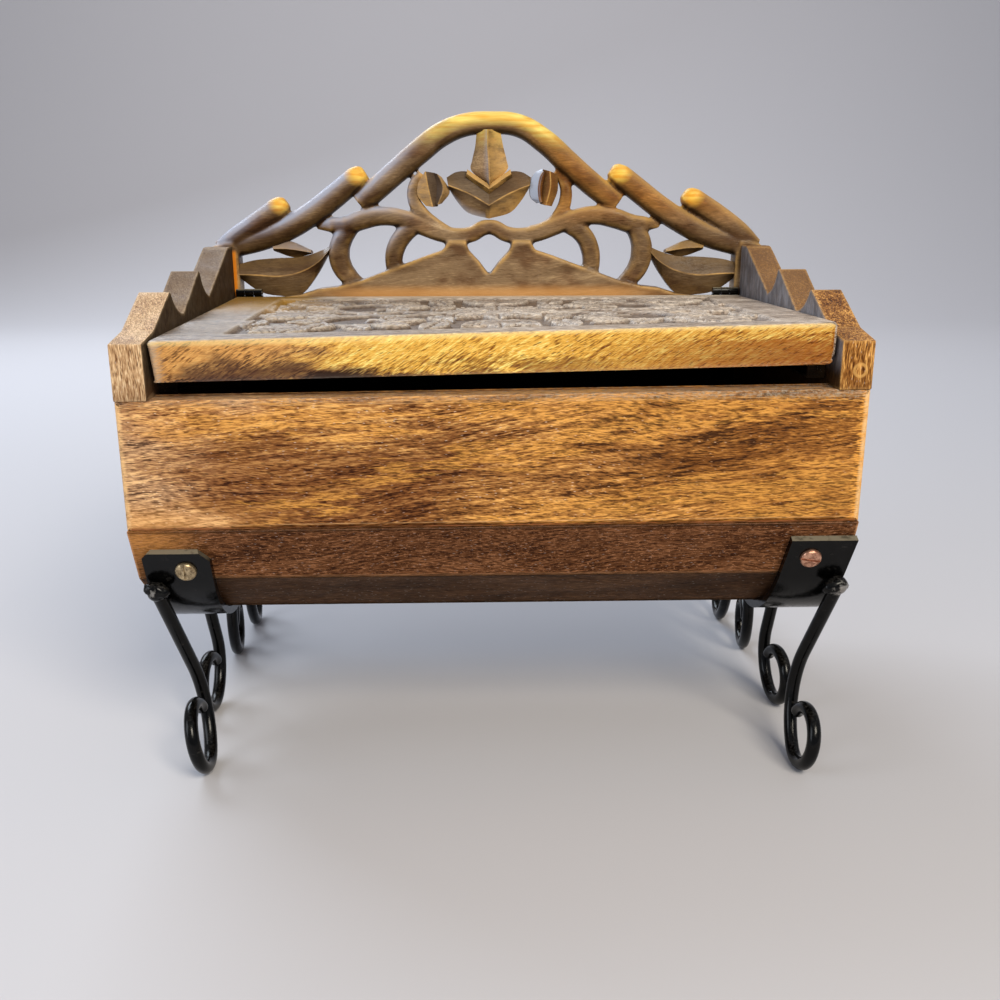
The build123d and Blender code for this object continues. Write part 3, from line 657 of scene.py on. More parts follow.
# painted light on the inner faces: shade on the left end's and a pale cold sheen on the right end's
end_woods = {
    -1: wood(
        "left_end_wood", (112, 74, 42), (194, 154, 112), (244, 212, 168), turn=(0, 90, 0), shift=(0, 20, 5),
        figure=0.4, streaks=0.5, pores=1.0, fibre=1.2, wear=0.22, worn_and_lit=(236, 204, 160), dust=0.0,
        rough=(0.5, 0.7), stains_and_light=end_stains_and_light(1, (20, 14, 9), (120, 84, 54), (74, 56, 38)),
    ),
    1: wood(
        "right_end_wood", (74, 36, 6), (146, 94, 40), (226, 168, 92), turn=(0, 90, 0), shift=(30, 70, 5),
        figure=0.6, streaks=0.9, pores=0.8, fibre=1.2, wear=0.3, worn_and_lit=(236, 184, 110), dust=0.0,
        rough=(0.5, 0.7),
        stains_and_light=end_stains_and_light(-1, (102, 102, 106), (100, 64, 34), (122, 88, 52), (113.4, -71.5, 138.6)),
    ),
}
peaks = [(y, nib_top + z) for y, z in (teeth[0][0], teeth[1][0], last_peak)]
for side, name in ((-1, "left_end_panel"), (1, "right_end_panel")):
    bm = cut_board(end_section, *sorted((side * half_length, side * end_inner)))
    tips = [
        e for e in bm.edges
        if any(all(abs(v.co.y - y) < 0.01 and abs(v.co.z - z) < 0.01 for v in e.verts) for y, z in peaks)
    ]
    round_edges(bm, tips, width=1.6)
    soften(bm, width=0.35, rim=0.7)
    for vert in bm.verts:  # the nib's foot follows the panel's edge
        if vert.co.y < -61 and abs(vert.co.z - front_top) < 1.5:
            vert.co.z += hand_tilt(vert.co.x, front_top)
    finish_piece(name + "_wood", bm, end_woods[side], "box", [name])

# %% [markdown]
# ## The lid's lie and its cleats
#
# The lid has warped a little: with its hinged edge level, its front left corner
# sits low and its front right corner high. Two strips glued inside the ends carry
# it, so they are made to the same lie, a hair under the lid.

# %% Lid lie and cleats
lid_left, lid_right = -106.7, 106.7
lid_front, lid_rear = -69.0, 59.3
lid_low, lid_high = 138.551, 151.051
cleat_x, cleat_y, cleat_z = 104.3, -11.5, 135.35
cleat_size = (6.0, 92.0, 5.9)


def lid_lie(x, y, level=0.0):
    """Height that the warp adds to a point of the lid; level is 0 on its underside and 1 on top."""
    forward = (lid_rear - y) / (lid_rear - lid_front)
    below = -0.6 + 2.3 * x / lid_right
    above = -0.4 + 2.4 * x / lid_right
    return (below + (above - below) * level) * forward


# the cleats are coloured almost black: painted shade, so the gap under the lid reads dark
cleat_wood = wood(
    "cleat_wood", (4, 3, 2), (9, 6, 4), (20, 14, 9), turn=(0, 0, 90), figure=0.6, streaks=0.4,
    pores=0.6, wear=0.1, dust=0.1,
)
for side, name in ((-1, "left_lid_cleat"), (1, "right_lid_cleat")):
    bm = bmesh.new()
    bmesh.ops.create_cube(bm, size=1.0)
    bmesh.ops.scale(bm, verts=bm.verts[:], vec=cleat_size)
    bmesh.ops.translate(bm, verts=bm.verts[:], vec=(side * cleat_x, cleat_y, cleat_z))
    lengthwise = [e for e in bm.edges if abs(e.verts[0].co.y - e.verts[1].co.y) > 1]
    bmesh.ops.subdivide_edges(bm, edges=lengthwise, cuts=6)
    soften(bm, width=0.5, rim=0.8)
    for vert in bm.verts:
        vert.co.z += lid_lie(side * cleat_x, vert.co.y)
    finish_piece(name + "_wood", bm, cleat_wood, "box", [name])

# %% [markdown]
# ## Carving the lid
#
# The lid's top is sunk work: a plain border is left standing and the ground
# between the leaves is cut away. A carver works in a pattern of repeated leaves,
# so the relief here is a height map built from one leaf shape placed many times,
# with scrolling stems between. Heights are in millimetres above the sunk ground.

# %% Relief of leaves and stems
relief_depth = 1.7
field_x, field_y, field_half_x, field_half_y = 2.5, -3.5, 89.0, 54.0
scroll = {"centre": (47, 22), "start": -128, "end": 250, "wide": 19, "tight": 5}


def ease(t):
    t = np.clip(t, 0.0, 1.0)
    return t * t * (3 - 2 * t)


def leaf(height, x, y, base, angle, length, width):
    """Raises one carved leaf: a lipped blade with a midrib groove and slanting veins."""
    turn = math.radians(angle)
    u = ((x - base[0]) * math.cos(turn) + (y - base[1]) * math.sin(turn)) / length
    v = (y - base[1]) * math.cos(turn) - (x - base[0]) * math.sin(turn)
    half = 0.6 * width * np.sin(math.pi * np.clip(u, 0, 1) ** 0.8) ** 0.85 + 1e-6
    across = np.abs(v) / half
    blade = 1.6 + 0.1 * across**2
    blade -= 1.1 * np.exp(-((v / 0.45) ** 2))
    blade -= 0.6 * np.clip(np.cos(2 * math.pi * (u * length / 3.8 - np.abs(v) * 0.36)), 0, 1) ** 6
    inside = (u > 0) & (u < 1) & (across < 1)
    blade = np.where(inside, blade * ease((1 - across) * half / 0.5), 0)
    np.maximum(height, blade, out=height)


def stem(height, x, y, points, thick=1.5):
    """Raises a round stem along a line of points."""
    near = np.full(x.shape, 99.0)
    for (xa, ya), (xb, yb) in zip(points, points[1:]):
        run = (xb - xa) ** 2 + (yb - ya) ** 2 + 1e-9
        t = np.clip(((x - xa) * (xb - xa) + (y - ya) * (yb - ya)) / run, 0, 1)
        near = np.minimum(near, np.hypot(x - xa - t * (xb - xa), y - ya - t * (yb - ya)))
    np.maximum(height, 1.35 * np.sqrt(np.clip(1 - (near / thick) ** 2, 0, 1)), out=height)


def scroll_point(turn, centre, start, end, wide, tight):
    """A point of the scrolling stem, which winds inwards as it turns."""
    reach = wide + (tight - wide) * (turn - start) / (end - start)
    angle = math.radians(turn)
    return centre[0] + reach * math.cos(angle), centre[1] + reach * math.sin(angle)


def carve(x, y, steps=22):
    """Height of the leaf carving over a grid, folded so that its four quarters match."""
    u, v = np.abs(x - field_x), np.abs(y - field_y)
    height = np.zeros(x.shape)
    turns = np.linspace(scroll["start"], scroll["end"], steps + 1)
    stem(height, u, v, [(14, 0), (24, 3), (33, 5)] + [scroll_point(turn, **scroll) for turn in turns])
    stem(height, u, v, [(47, 3), (58, 5), (66, 3), (72, 0)], 1.4)
    for turn, length in (
        (-100, 13), (-55, 15), (-12, 15), (30, 15), (72, 16), (112, 15), (155, 15), (196, 13),
    ):
        leaf(height, u, v, scroll_point(turn, **scroll), turn + 42, length, 8.4)
    # the sprays, each a root, the leaves' angles, their length and their width
    for root, angles, length, width in (
        ((66, 34), (15, 75), 19, 10), ((66, 34), (45,), 23, 10), ((68, 0), (-38, 0, 38), 20, 10),
        ((0, 30), (52, 90, 128), 22, 10), ((20, 30), (78,), 22, 9), ((24, 12), (118,), 17, 8),
        ((84, 16), (84,), 17, 9),
    ):
        for angle in angles:
            leaf(height, u, v, root, angle, length, width)
    # the rosette in the middle and its boss
    for turn in range(0, 360, 45):
        base = (4.5 * math.cos(math.radians(turn)), 4.5 * math.sin(math.radians(turn)))
        leaf(height, u, v, base, turn, 18, 9.5)
    dome = np.hypot(u, v)
    np.maximum(height, np.where(dome < 5, 1.7 - 0.02 * dome**2, 0), out=height)
    return np.clip(height, 0, relief_depth)


print("carving field", 2 * field_half_x, "by", 2 * field_half_y, "mm")

# %% [markdown]
# ## The lid
#
# One grid makes the top. Its border is extruded outwards for the small chamfer,
# down in rings for the sides, and closed underneath. The rings let the lower right
# corner be rounded and the left end lean, as they do on the real board.

# %% Lid board
def round_corner(verts, axes, corner, signs, radius):
    """Rounds a square corner: points beyond the circle's centre move onto the circle."""
    (a, b), (sa, sb) = axes, signs
    centre = corner[0] - sa * radius, corner[1] - sb * radius
    for vert in verts:
        da, db = (vert.co[a] - centre[0]) * sa, (vert.co[b] - centre[1]) * sb
        if da > 0 and db > 0:
            shrink = max(da, db) / math.hypot(da, db)
            vert.co[a] = centre[0] + sa * da * shrink
            vert.co[b] = centre[1] + sb * db * shrink


chamfer = 0.8
foot_step = 0.6  # the underside's edge is drawn in by this, over the same height
lean_x, lean = 6.0, 1.5  # width of the leaning left end, and how far its lower edge moves in
cell = 0.6
top_x = (lid_left + chamfer, lid_right - chamfer)
top_y = (lid_front + chamfer, lid_rear - chamfer)
mid_x, mid_y = sum(top_x) / 2, sum(top_y) / 2
wide, deep = top_x[1] - top_x[0], top_y[1] - top_y[0]
bm = bmesh.new()
bmesh.ops.create_grid(bm, x_segments=round(wide / cell), y_segments=round(deep / cell), size=0.5)
bmesh.ops.scale(bm, verts=bm.verts[:], vec=(wide, deep, 1))
bmesh.ops.translate(bm, verts=bm.verts[:], vec=(mid_x, mid_y, lid_high))
rim = [e for e in bm.edges if e.is_boundary]
side_height = lid_high - lid_low - chamfer - foot_step
rings = [(lid_high - chamfer - side_height * k / 6, 0.0 if k else chamfer) for k in range(7)]
for level, step in rings + [(lid_low, -foot_step)]:
    out = bmesh.ops.extrude_edge_only(bm, edges=rim)["geom"]
    rim = [e for e in only(bmesh.types.BMEdge, out) if e.is_boundary]
    for vert in {v for e in rim for v in e.verts}:
        if step:
            at_end = abs(vert.co.x - mid_x) > wide / 2 - 0.01
            at_face = abs(vert.co.y - mid_y) > deep / 2 - 0.01
            vert.co.x += math.copysign(step, vert.co.x - mid_x) if at_end else 0
            vert.co.y += math.copysign(step, vert.co.y - mid_y) if at_face else 0
        vert.co.z = level
bmesh.ops.contextual_create(bm, geom=rim)
round_corner(bm.verts, (0, 1), (lid_right, lid_front), (1, -1), 3.0)
round_corner(bm.verts, (0, 1), (lid_left, lid_front), (-1, -1), 1.4)
round_corner(bm.verts, (0, 2), (lid_right, lid_low), (1, -1), 3.8)
for vert in bm.verts:
    inset = lid_left + lean_x - vert.co.x
    if inset > 0 and vert.co.z < lid_high - 1:
        vert.co.x += lean * (lid_high - vert.co.z) / (lid_high - lid_low) * inset / lean_x


def lid_top_relief(mesh, wall=2.6, near_by=1.2):
    """Sinks the ground of the carving and stores how deep each point is, where its edges are handled pale
    and where the leaves' lips get a painted highlight.

    wall is the width of the slope down from the border, and a lip stands above the points near_by.
    """
    place = point_values(mesh.vertices, "co", 3) / MM
    x, y = place[:, 0], place[:, 1]
    top = place[:, 2] > lid_high - 0.01
    edge = np.minimum(field_half_x - np.abs(x - field_x), field_half_y - np.abs(y - field_y))
    sunk = ease(edge / wall) * top
    raised = carve(x, y)
    around = ((near_by, 0), (-near_by, 0), (0, near_by), (0, -near_by))
    nearby = sum(carve(x + dx, y + dy) for dx, dy in around) / 4
    drop = sunk * np.clip(relief_depth - raised, 0, relief_depth)
    place[:, 2] -= drop
    level = np.clip((place[:, 2] - lid_low) / (lid_high - lid_low), 0, 1)
    place[:, 2] += lid_lie(x, y, level)
    mesh.vertices.foreach_set("co", (place * MM).ravel())
    # a painted highlight on the raised lips of the leaves, kept with the edge wear
    lip = np.clip((raised - nearby) * 1.6, 0, 1) * sunk
    rub_and_highlight = np.clip(1 - np.abs(edge) / 1.2, 0, 1) * 0.6 * top
    border = np.minimum(lid_right - np.abs(x), np.minimum(y - lid_front, lid_rear - y))
    outside = np.clip(1 - border / 1.3, 0, 1)
    add_mark(mesh, "wear", np.maximum.reduce([lip, rub_and_highlight, outside * top]))
    add_mark(mesh, "hollow", drop / relief_depth)
    print("relief: deepest", drop.max().round(2), "mm over", int(top.sum()), "points")


print("lid has", len(bm.faces), "faces before its carving")

# %% [markdown]
# ## The lid's finish
#
# The top is grey-brown and darker in the hollows, with a painted highlight on the
# leaves' lips and a painted olive reflection on its rear left corner. The front
# edge is cut across the log's lean, so its fibres climb to the right, bright gold
# over brown, with a scorched patch at the lower left. Both come from the same grain
# group, laid at two angles, and a mask along y picks the front edge. The underside
# is painted dark, as the shade under the lid.

# %% Lid finish
def lid_stains_and_light(coat, grain):
    x, y = coat.x, coat.y
    left_lie, right_lie = (lid_lie(end, lid_front, 0.5) for end in (lid_left, lid_right))
    z = coat.z - y.ease(lid_rear, lid_front) * x.ease(lid_left, lid_right, left_lie, right_lie)
    slant = grain_of(
        coat.here.turned(29), (130, 74, 20), (236, 180, 76), (255, 234, 136), 0.35, 0.5, 1.0, 0.9, 0.4
    )
    cloud = coat.here.noise(0.035, 0.05, 0.16, 3.0, 0.55)
    fray = slant["Height"].ease(-0.5, 0.5, -1.6, 1.6)
    ragged = z + fray + cloud.ease(0.3, 0.7, -3.0, 3.0)
    patch = x + fray + cloud.ease(0.25, 0.75, -14.0, 14.0)
    # the front edge: browner to the right, duller to the left, scorched low down
    gold = slant["Color"]
    high = (lid_high - 0.5, lid_high - 6.0)
    char = patch.ease(-98.0, -84.0) * patch.ease(-34.0, -62.0) * ragged.ease(150.0, 143.5)
    for mask, color, how in (
        (patch.ease(10.0, 86.0, 0.0, 0.82) * ragged.ease(*high, 0.35, 1.0), (150, 92, 34), "MULTIPLY"),
        (patch.ease(-30.0, -70.0, 0.0, 0.75), (190, 140, 86), "COLOR"),
        (patch.ease(-20.0, -70.0, 0.0, 0.35), (150, 120, 96), "MULTIPLY"),
        (ragged.ease(144.0, 138.6) * patch.ease(70.0, -30.0, 0.25, 0.85), (104, 56, 26), "MIX"),
        (char * 0.85, (66, 42, 36), "MIX"),
        (ragged.ease(141.6, 138.6) * patch.ease(10.0, -50.0, 0.0, 0.85), (38, 22, 12), "MIX"),
        ((x + fray * 0.7).ease(-101.5, -105.5, 0.0, 0.75), (206, 180, 152), "MIX"),
        (z.ease(lid_high - 2.0, lid_high - 0.6, 0.0, 0.35), (255, 232, 160), "MIX"),
    ):
        gold = mix(mask, gold, color, how)
    # the top: a dark stippled ground, a darker left end, a pale rear strip and a painted olive reflection on
    # the rear left corner
    stipple = coat.here.noise(1.3, 1.3, 1.3).ease(0.35, 0.65)
    coat.lay(coat.mark("hollow").ease(0.15, 0.8, 0.0, 0.78), mix(stipple, (62, 45, 33), (126, 102, 82)))
    coat.lay(patch.ease(20.0, -60.0, 0.0, 0.7), (176, 158, 132), "MULTIPLY")
    coat.lay(y.ease(48.0, 54.0) * patch.ease(-80.0, -50.0) * 0.7, (240, 224, 200))
    coat.lay(patch.ease(-56.0, -84.0) * y.ease(-14.0, 30.0) * 0.85, (176, 130, 40))
    seam = abs(y - (lid_front + 1.9)).ease(0.6, 0.2)
    coat.lay(seam * patch.ease(40.0, -20.0, 0.1, 0.6), (86, 60, 44))
    coat.lay(y.ease(lid_front + 0.9, lid_front + 0.4), gold)
    # the underside is painted dark, as shade
    coat.lay(coat.nz.ease(-0.5, -0.9), mix(grain["Height"], (40, 26, 16), (92, 62, 40)))


lid_wood = wood(
    "lid_wood", (92, 72, 54), (172, 152, 134), (236, 222, 206), shift=(10, 40, 0), figure=0.5, streaks=0.8,
    pores=1.0, fibre=1.3, gloss=0.6, wear=0.6, worn_and_lit=(238, 224, 206), dust=0.1, rough=(0.3, 0.46),
    stains_and_light=lid_stains_and_light,
)
lid_board = finish_piece("lid_board", bm, lid_wood, "lid", ["lid"], angle=42)
lid_top_relief(lid_board.data)
lid_board.data.set_sharp_from_angle(angle=math.radians(55))

# %% [markdown]
# ## Branches of the pierced back
#
# The back is pierced and then rounded over with gouges, so its bars look like
# branches, not like a flat plate. A curve suits a branch: it passes through a few
# points, each with its own thickness, and sweeps a soft-cornered section along
# itself. The lists hold x, z and half thickness in millimetres. Left-hand lists
# give x as a distance to the left of the middle.

# %% Branch sweep
carving_front, carving_back = 61.5, 71.5
carving_mid = (carving_front + carving_back) / 2
carving_x = 0.4


def evaluated_mesh(block):
    """The mesh that an object shows, with its curves swept and its modifiers applied."""
    bpy.context.scene.collection.objects.link(block)
    bpy.context.view_layer.update()
    mesh = bpy.data.meshes.new_from_object(block.evaluated_get(bpy.context.evaluated_depsgraph_get()))
    bpy.data.objects.remove(block)
    return mesh


def add_mesh(bm, mesh):
    """Moves a mesh into the one being built."""
    bm.from_mesh(mesh)
    bpy.data.meshes.remove(mesh)


def section_curve(depth, corner, sides=20):
    """A closed outline, 1 wide either way and depth deep, between a circle and a box."""
    data = bpy.data.curves.new("branch_section", "CURVE")
    spline = data.splines.new("POLY")
    spline.points.add(sides - 1)
    for index, point in enumerate(spline.points):
        turn = 2 * math.pi * index / sides
        a, b = math.cos(turn), math.sin(turn)
        point.co = (math.copysign(abs(a) ** corner, a), depth * math.copysign(abs(b) ** corner, b), 0, 1)
    spline.use_cyclic_u = True
    return bpy.data.objects.new("branch_section", data)


def branch(bm, points, side, section):
    """Adds one swept branch to the carving, as a closed shape."""
    data = bpy.data.curves.new("branch", "CURVE")
    data.dimensions = "2D"
    data.fill_mode = "NONE"
    data.resolution_u = 8
    data.bevel_mode = "OBJECT"
    data.bevel_object = section
    data.use_fill_caps = True
    spline = data.splines.new("BEZIER")
    spline.bezier_points.add(len(points) - 1)
    for knot, (x, z, radius) in zip(spline.bezier_points, points):
        knot.co = (side * x + carving_x, z, 0)
        knot.radius = radius
        knot.handle_left_type = knot.handle_right_type = "AUTO"
    mesh = evaluated_mesh(bpy.data.objects.new("branch", data))
    mesh.transform(Matrix.Translation((0, carving_mid, 0)) @ Matrix.Rotation(math.radians(90), 4, "X"))
    add_mesh(bm, mesh)


stout, slim = section_curve(0.97, 0.8), section_curve(1.12, 0.62)
# the vine's outer end differs from side to side, and the rest of it is the same on both
vine = [(45.0, 183.9, 3.9), (36.0, 182.5, 3.7), (27.7, 179.4, 3.8), (20.3, 176.6, 3.6),
        (14.4, 175.5, 3.4), (7.4, 176.2, 3.3), (2.0, 178.9, 3.2), (-2.6, 179.0, 2.8)]
left_branches = [
    (stout, [(-2.5, 220.9, 4.5), (8.6, 220.2, 4.6), (19.0, 216.5, 4.9), (28.2, 210.0, 5.1),
             (36.6, 203.2, 5.0), (44.6, 196.6, 4.9), (50.1, 191.9, 4.7), (54.2, 188.6, 4.2)]),
    (stout, [(51.6, 201.5, 2.4), (53.0, 200.6, 4.0), (55.4, 198.9, 4.9), (58.0, 196.9, 4.9),
             (67.1, 189.9, 5.0), (75.7, 183.9, 5.0), (85.9, 178.3, 5.0), (96.9, 174.3, 4.9),
             (107.0, 171.6, 4.6), (113.2, 169.6, 4.2)]),
    (stout, [(84.6, 189.4, 2.4), (86.0, 188.4, 4.0), (88.6, 186.6, 4.9), (91.6, 184.4, 4.9),
             (98.2, 180.0, 4.9), (106.8, 174.4, 4.8), (113.0, 169.8, 4.4)]),
    (slim, [(72.5, 179.2, 0.9), (69.6, 179.7, 2.0), (66.2, 180.0, 3.2), (60.4, 180.0, 4.0),
            (53.4, 182.3, 4.2), (45.0, 183.7, 3.9)] + vine[1:]),
    (slim, [(31.0, 180.0, 3.4), (36.6, 175.4, 3.9), (39.6, 170.5, 3.9), (40.6, 165.6, 3.7),
            (40.0, 160.2, 3.4)]),
    (slim, [(58.6, 179.0, 3.6), (62.2, 174.0, 4.2), (63.7, 169.0, 4.4), (62.9, 163.4, 4.3),
            (60.0, 159.0, 3.9), (56.1, 156.0, 2.8)]),
    (slim, [(18.0, 177.0, 2.8), (23.9, 180.6, 3.1), (28.6, 185.1, 2.9), (31.6, 190.6, 2.6),
            (31.2, 196.4, 2.3), (27.9, 200.8, 1.4)]),
]
right_branches = [
    (stout, [(-2.5, 220.9, 4.5), (12.4, 219.7, 4.6), (23.5, 213.3, 4.9), (32.8, 205.2, 5.0),
             (42.7, 196.9, 4.9), (49.5, 191.7, 4.7), (54.0, 188.3, 4.3)]),
    (stout, [(51.0, 202.3, 2.4), (52.4, 201.4, 4.0), (55.0, 199.7, 4.9), (58.0, 197.6, 4.9),
             (62.7, 194.1, 4.9), (71.3, 187.7, 4.9), (81.6, 181.2, 4.9), (92.9, 175.6, 4.9),
             (104.9, 172.0, 4.7), (112.8, 169.6, 4.2)]),
    (stout, [(82.2, 192.8, 2.4), (83.6, 191.8, 4.0), (86.2, 190.2, 4.8), (89.4, 188.2, 4.8),
             (96.7, 183.6, 4.8), (106.6, 176.4, 4.7), (112.8, 170.4, 4.4)]),
    (slim, [(72.5, 179.6, 0.9), (69.6, 180.0, 2.0), (66.2, 180.2, 3.2), (60.4, 180.4, 4.0),
            (53.4, 182.6, 4.2)] + vine),
    (slim, [(33.0, 180.2, 3.4), (39.6, 176.2, 3.9), (42.8, 170.6, 3.9), (43.7, 165.0, 3.7),
            (43.0, 158.6, 3.4)]),
    (slim, [(61.0, 180.0, 3.6), (64.4, 174.0, 4.2), (65.2, 168.4, 4.4), (63.8, 162.6, 4.2),
            (60.8, 158.4, 3.8), (57.4, 156.0, 2.8)]),
    (slim, [(18.0, 177.0, 2.8), (25.0, 178.9, 3.0), (30.0, 184.4, 2.8), (32.4, 191.0, 2.6),
            (31.6, 197.0, 2.3), (27.6, 201.6, 1.4)]),
]
carving = bmesh.new()
for side, group in ((-1, left_branches), (1, right_branches)):
    for section, points in group:
        branch(carving, points, side, section)
print("branches swept:", len(left_branches) + len(right_branches), "vertices", len(carving.verts))

# %% [markdown]
# ## Leaves, buds and the lotus
#
# A carved leaf is two slanting faces that meet in a ridge. Three lines of points
# describe it, its upper edge, its ridge and its lower edge, and faces are drawn
# from each point to the next, with the same again behind. The leaves stay out of
# the remesh further down, so that their ridges stay crisp.

# %% Leaf blades
mark_names = ("hollow", "crisp", "wear")
leaves = bmesh.new()
for name in mark_names:
    leaves.verts.layers.float.new(name)
hollow_layer, crisp_layer, wear_highlight_layer = (leaves.verts.layers.float[name] for name in mark_names)


def eased_line(points, steps=5):
    """More points along a smooth line through the given ones."""
    points = [np.array(p, float) for p in points]
    padded = [2 * points[0] - points[1]] + points + [2 * points[-1] - points[-2]]
    line = []
    for a, b, c, d in zip(padded, padded[1:], padded[2:], padded[3:]):
        bow, twist = 2 * a - 5 * b + 4 * c - d, 3 * b - a - 3 * c + d
        for t in (step / steps for step in range(steps)):
            line.append(0.5 * (2 * b + (c - a) * t + bow * t**2 + twist * t**3))
    return line + [points[-1]]


def blade(
    upper, ridge, lower, side=1, thin=1.8, proud=4.6, tone=(0, 0), rub_and_highlight=(0.15, 0.15), crest=(1, 1),
    inner=None,
):
    """A ridged leaf through points (x, z), with its ridge proud of its edges.

    tone paints shade on the two edges, and a pale cold sheen where it is negative; inner does the same
    beside the ridge. rub_and_highlight pales the two faces as handling does and paints a highlight on them,
    and crest does the same on the ridge from its first point to its last.
    """
    inner = inner or (0.4 * tone[0], 0.4 * tone[1])
    rings = []
    lines = list(zip(eased_line(upper), eased_line(ridge), eased_line(lower)))
    for index, (high, middle, low) in enumerate(lines):
        worn_and_lit = crest[0] + (crest[1] - crest[0]) * index / (len(lines) - 1)
        halves = []
        for k, far in enumerate((high, low)):
            share = min(0.5, 0.45 / max(0.1, np.linalg.norm(far - middle)))
            near = middle + (far - middle) * share
            depth = proud + (thin - proud) * share
            halves.append([(far, thin, tone[k], rub_and_highlight[k]), (near, depth, inner[k], rub_and_highlight[k] - 0.15)])
        front = halves[0] + [(middle, proud, 0.0, worn_and_lit)] + halves[1][::-1]
        ring = []
        for toward, spots in ((-1, front), (1, front[::-1])):
            for (x, z), depth, dark, lightening in spots:
                vert = leaves.verts.new((side * x + carving_x, carving_mid + toward * depth, z))
                # painted shade on the front, and a pale cold sheen where tone is negative; the back gets a
                # little of the shade
                vert[hollow_layer] = dark if toward < 0 else 0.4 * max(dark, 0)
                vert[wear_highlight_layer], vert[crisp_layer] = lightening, 1.0
                ring.append(vert)
        rings.append(ring)
    count = len(rings[0])
    for near, far in zip(rings, rings[1:]):
        for k in range(count):
            leaves.faces.new((near[k], near[(k + 1) % count], far[(k + 1) % count], far[k]))
    leaves.faces.new(rings[0])
    leaves.faces.new(rings[-1][::-1])


for side in (-1, 1):
    # the bowl of the lotus with its lip, and the collar under the bud
    # the bowl's lower face: a painted cold sheen on the left, a painted warm highlight on the right
    lower_tone, lower_highlight = (-0.5, 0.1) if side < 0 else (0.2, 0.55)
    blade([(17.6, 199.2), (13.4, 201.4), (7.8, 201.2), (0.0, 196.4)],
          [(17.0, 196.0), (12.4, 194.4), (7.2, 192.2), (0.0, 188.1)],
          [(16.8, 194.8), (13.2, 189.4), (8.6, 184.9), (0.0, 182.6)],
          side, thin=2.0, proud=4.5, tone=(0.9, lower_tone), rub_and_highlight=(0.0, lower_highlight), inner=(0.6, 0.5))
    # the collar, paled by handling and painted with a golden highlight
    blade([(9.0, 202.4), (0.0, 196.4)], [(9.2, 200.6), (0.0, 194.6)], [(9.8, 199.6), (0.0, 192.6)],
          side, thin=3.4, proud=4.95, rub_and_highlight=(0.8, 0.8))
    # the big leaf that grows out of the board's end, and the small one above it
    blade([(106.0, 164.2), (99.5, 165.8), (90.4, 166.6), (80.6, 167.0), (72.4, 169.2), (65.4, 172.6)],
          [(106.0, 159.9), (98.6, 159.8), (89.2, 159.3), (80.0, 161.0), (72.0, 165.2), (66.0, 171.6)],
          [(106.0, 158.4), (97.6, 152.6), (89.0, 150.9), (80.6, 151.4), (73.4, 159.4), (66.6, 170.6)],
          side, thin=1.8, proud=4.4, tone=(0.75, 0.6), crest=(1.2, 0.1), inner=(0.45, 0.35))
    blade([(91.6, 172.4), (84.6, 173.6), (75.4, 169.8)], [(91.0, 170.6), (84.0, 170.4), (75.2, 169.0)],
          [(91.0, 169.6), (82.4, 166.9), (75.0, 168.4)],
          side, thin=1.6, proud=3.6, tone=(0.5, 0.6), crest=(0.3, 0.3))
# the bud of the lotus: two faces and the ridge between them, with painted light and shade on the faces
blade([(-4.9, 218.0), (-5.6, 211.5), (-6.9, 206.0), (-7.1, 201.8), (0.3, 195.8)],
      [(-0.4, 218.0), (-0.5, 211.5), (-0.1, 206.0), (0.1, 201.0), (0.3, 195.4)],
      [(4.7, 218.0), (6.0, 211.5), (7.4, 206.0), (7.5, 202.0), (0.4, 195.8)],
      thin=2.0, proud=4.7, tone=(0.5, 0.0), rub_and_highlight=(0.0, 0.7), crest=(0.3, 0.8), inner=(-0.35, 0.9))
# the two curled side buds, each with a pale curl on its left, painted as cold window light, and a browner
# face on its right, painted as shade
blade([(-29.6, 197.0), (-29.8, 192.0), (-26.4, 187.8)], [(-26.4, 201.6), (-25.4, 195.6), (-23.6, 187.4)],
      [(-22.4, 201.0), (-19.6, 195.4), (-21.6, 187.6)],
      thin=2.6, proud=3.9, tone=(0.3, 1.0), rub_and_highlight=(0.7, 0.0), crest=(1.1, 0.9), inner=(-0.1, 0.6))
blade([(-23.4, 201.2), (-23.0, 195.6), (-23.2, 188.2)], [(-21.4, 200.6), (-19.0, 195.0), (-21.2, 188.4)],
      [(-19.7, 199.4), (-16.4, 193.6), (-19.8, 188.8)],
      thin=2.4, proud=4.4, tone=(1.0, 0.2), rub_and_highlight=(0.0, 0.5), crest=(0.3, 0.6), inner=(0.8, 0.3))
blade([(22.0, 202.6), (18.6, 200.4), (17.2, 195.4), (17.6, 191.2), (20.2, 188.8)],
      [(22.6, 201.4), (21.4, 199.4), (20.6, 195.4), (20.8, 191.4), (21.4, 189.2)],
      [(23.4, 200.8), (23.6, 199.2), (22.8, 195.6), (22.8, 192.0), (22.8, 189.2)],
      thin=2.8, proud=4.8, tone=(-1.0, 1.0), rub_and_highlight=(0.0, 0.0), crest=(0.0, 0.0), inner=(-0.9, -0.4))
blade([(22.6, 202.4), (22.2, 195.4), (21.6, 188.6)], [(25.4, 201.6), (25.6, 195.4), (23.8, 188.0)],
      [(28.6, 200.4), (28.8, 194.0), (26.4, 187.6)],
      thin=2.4, proud=4.2, tone=(1.0, 0.6), rub_and_highlight=(0.2, 0.2), crest=(1.1, 0.8), inner=(0.2, 0.1))
print("leaves have", len(leaves.faces), "faces")

# %% [markdown]
# ## The gable and the board ends
#
# Under the vine the board is left solid as a low gable with a notch in the middle.
# Its ends rise behind the end panels to meet the lowest branches.

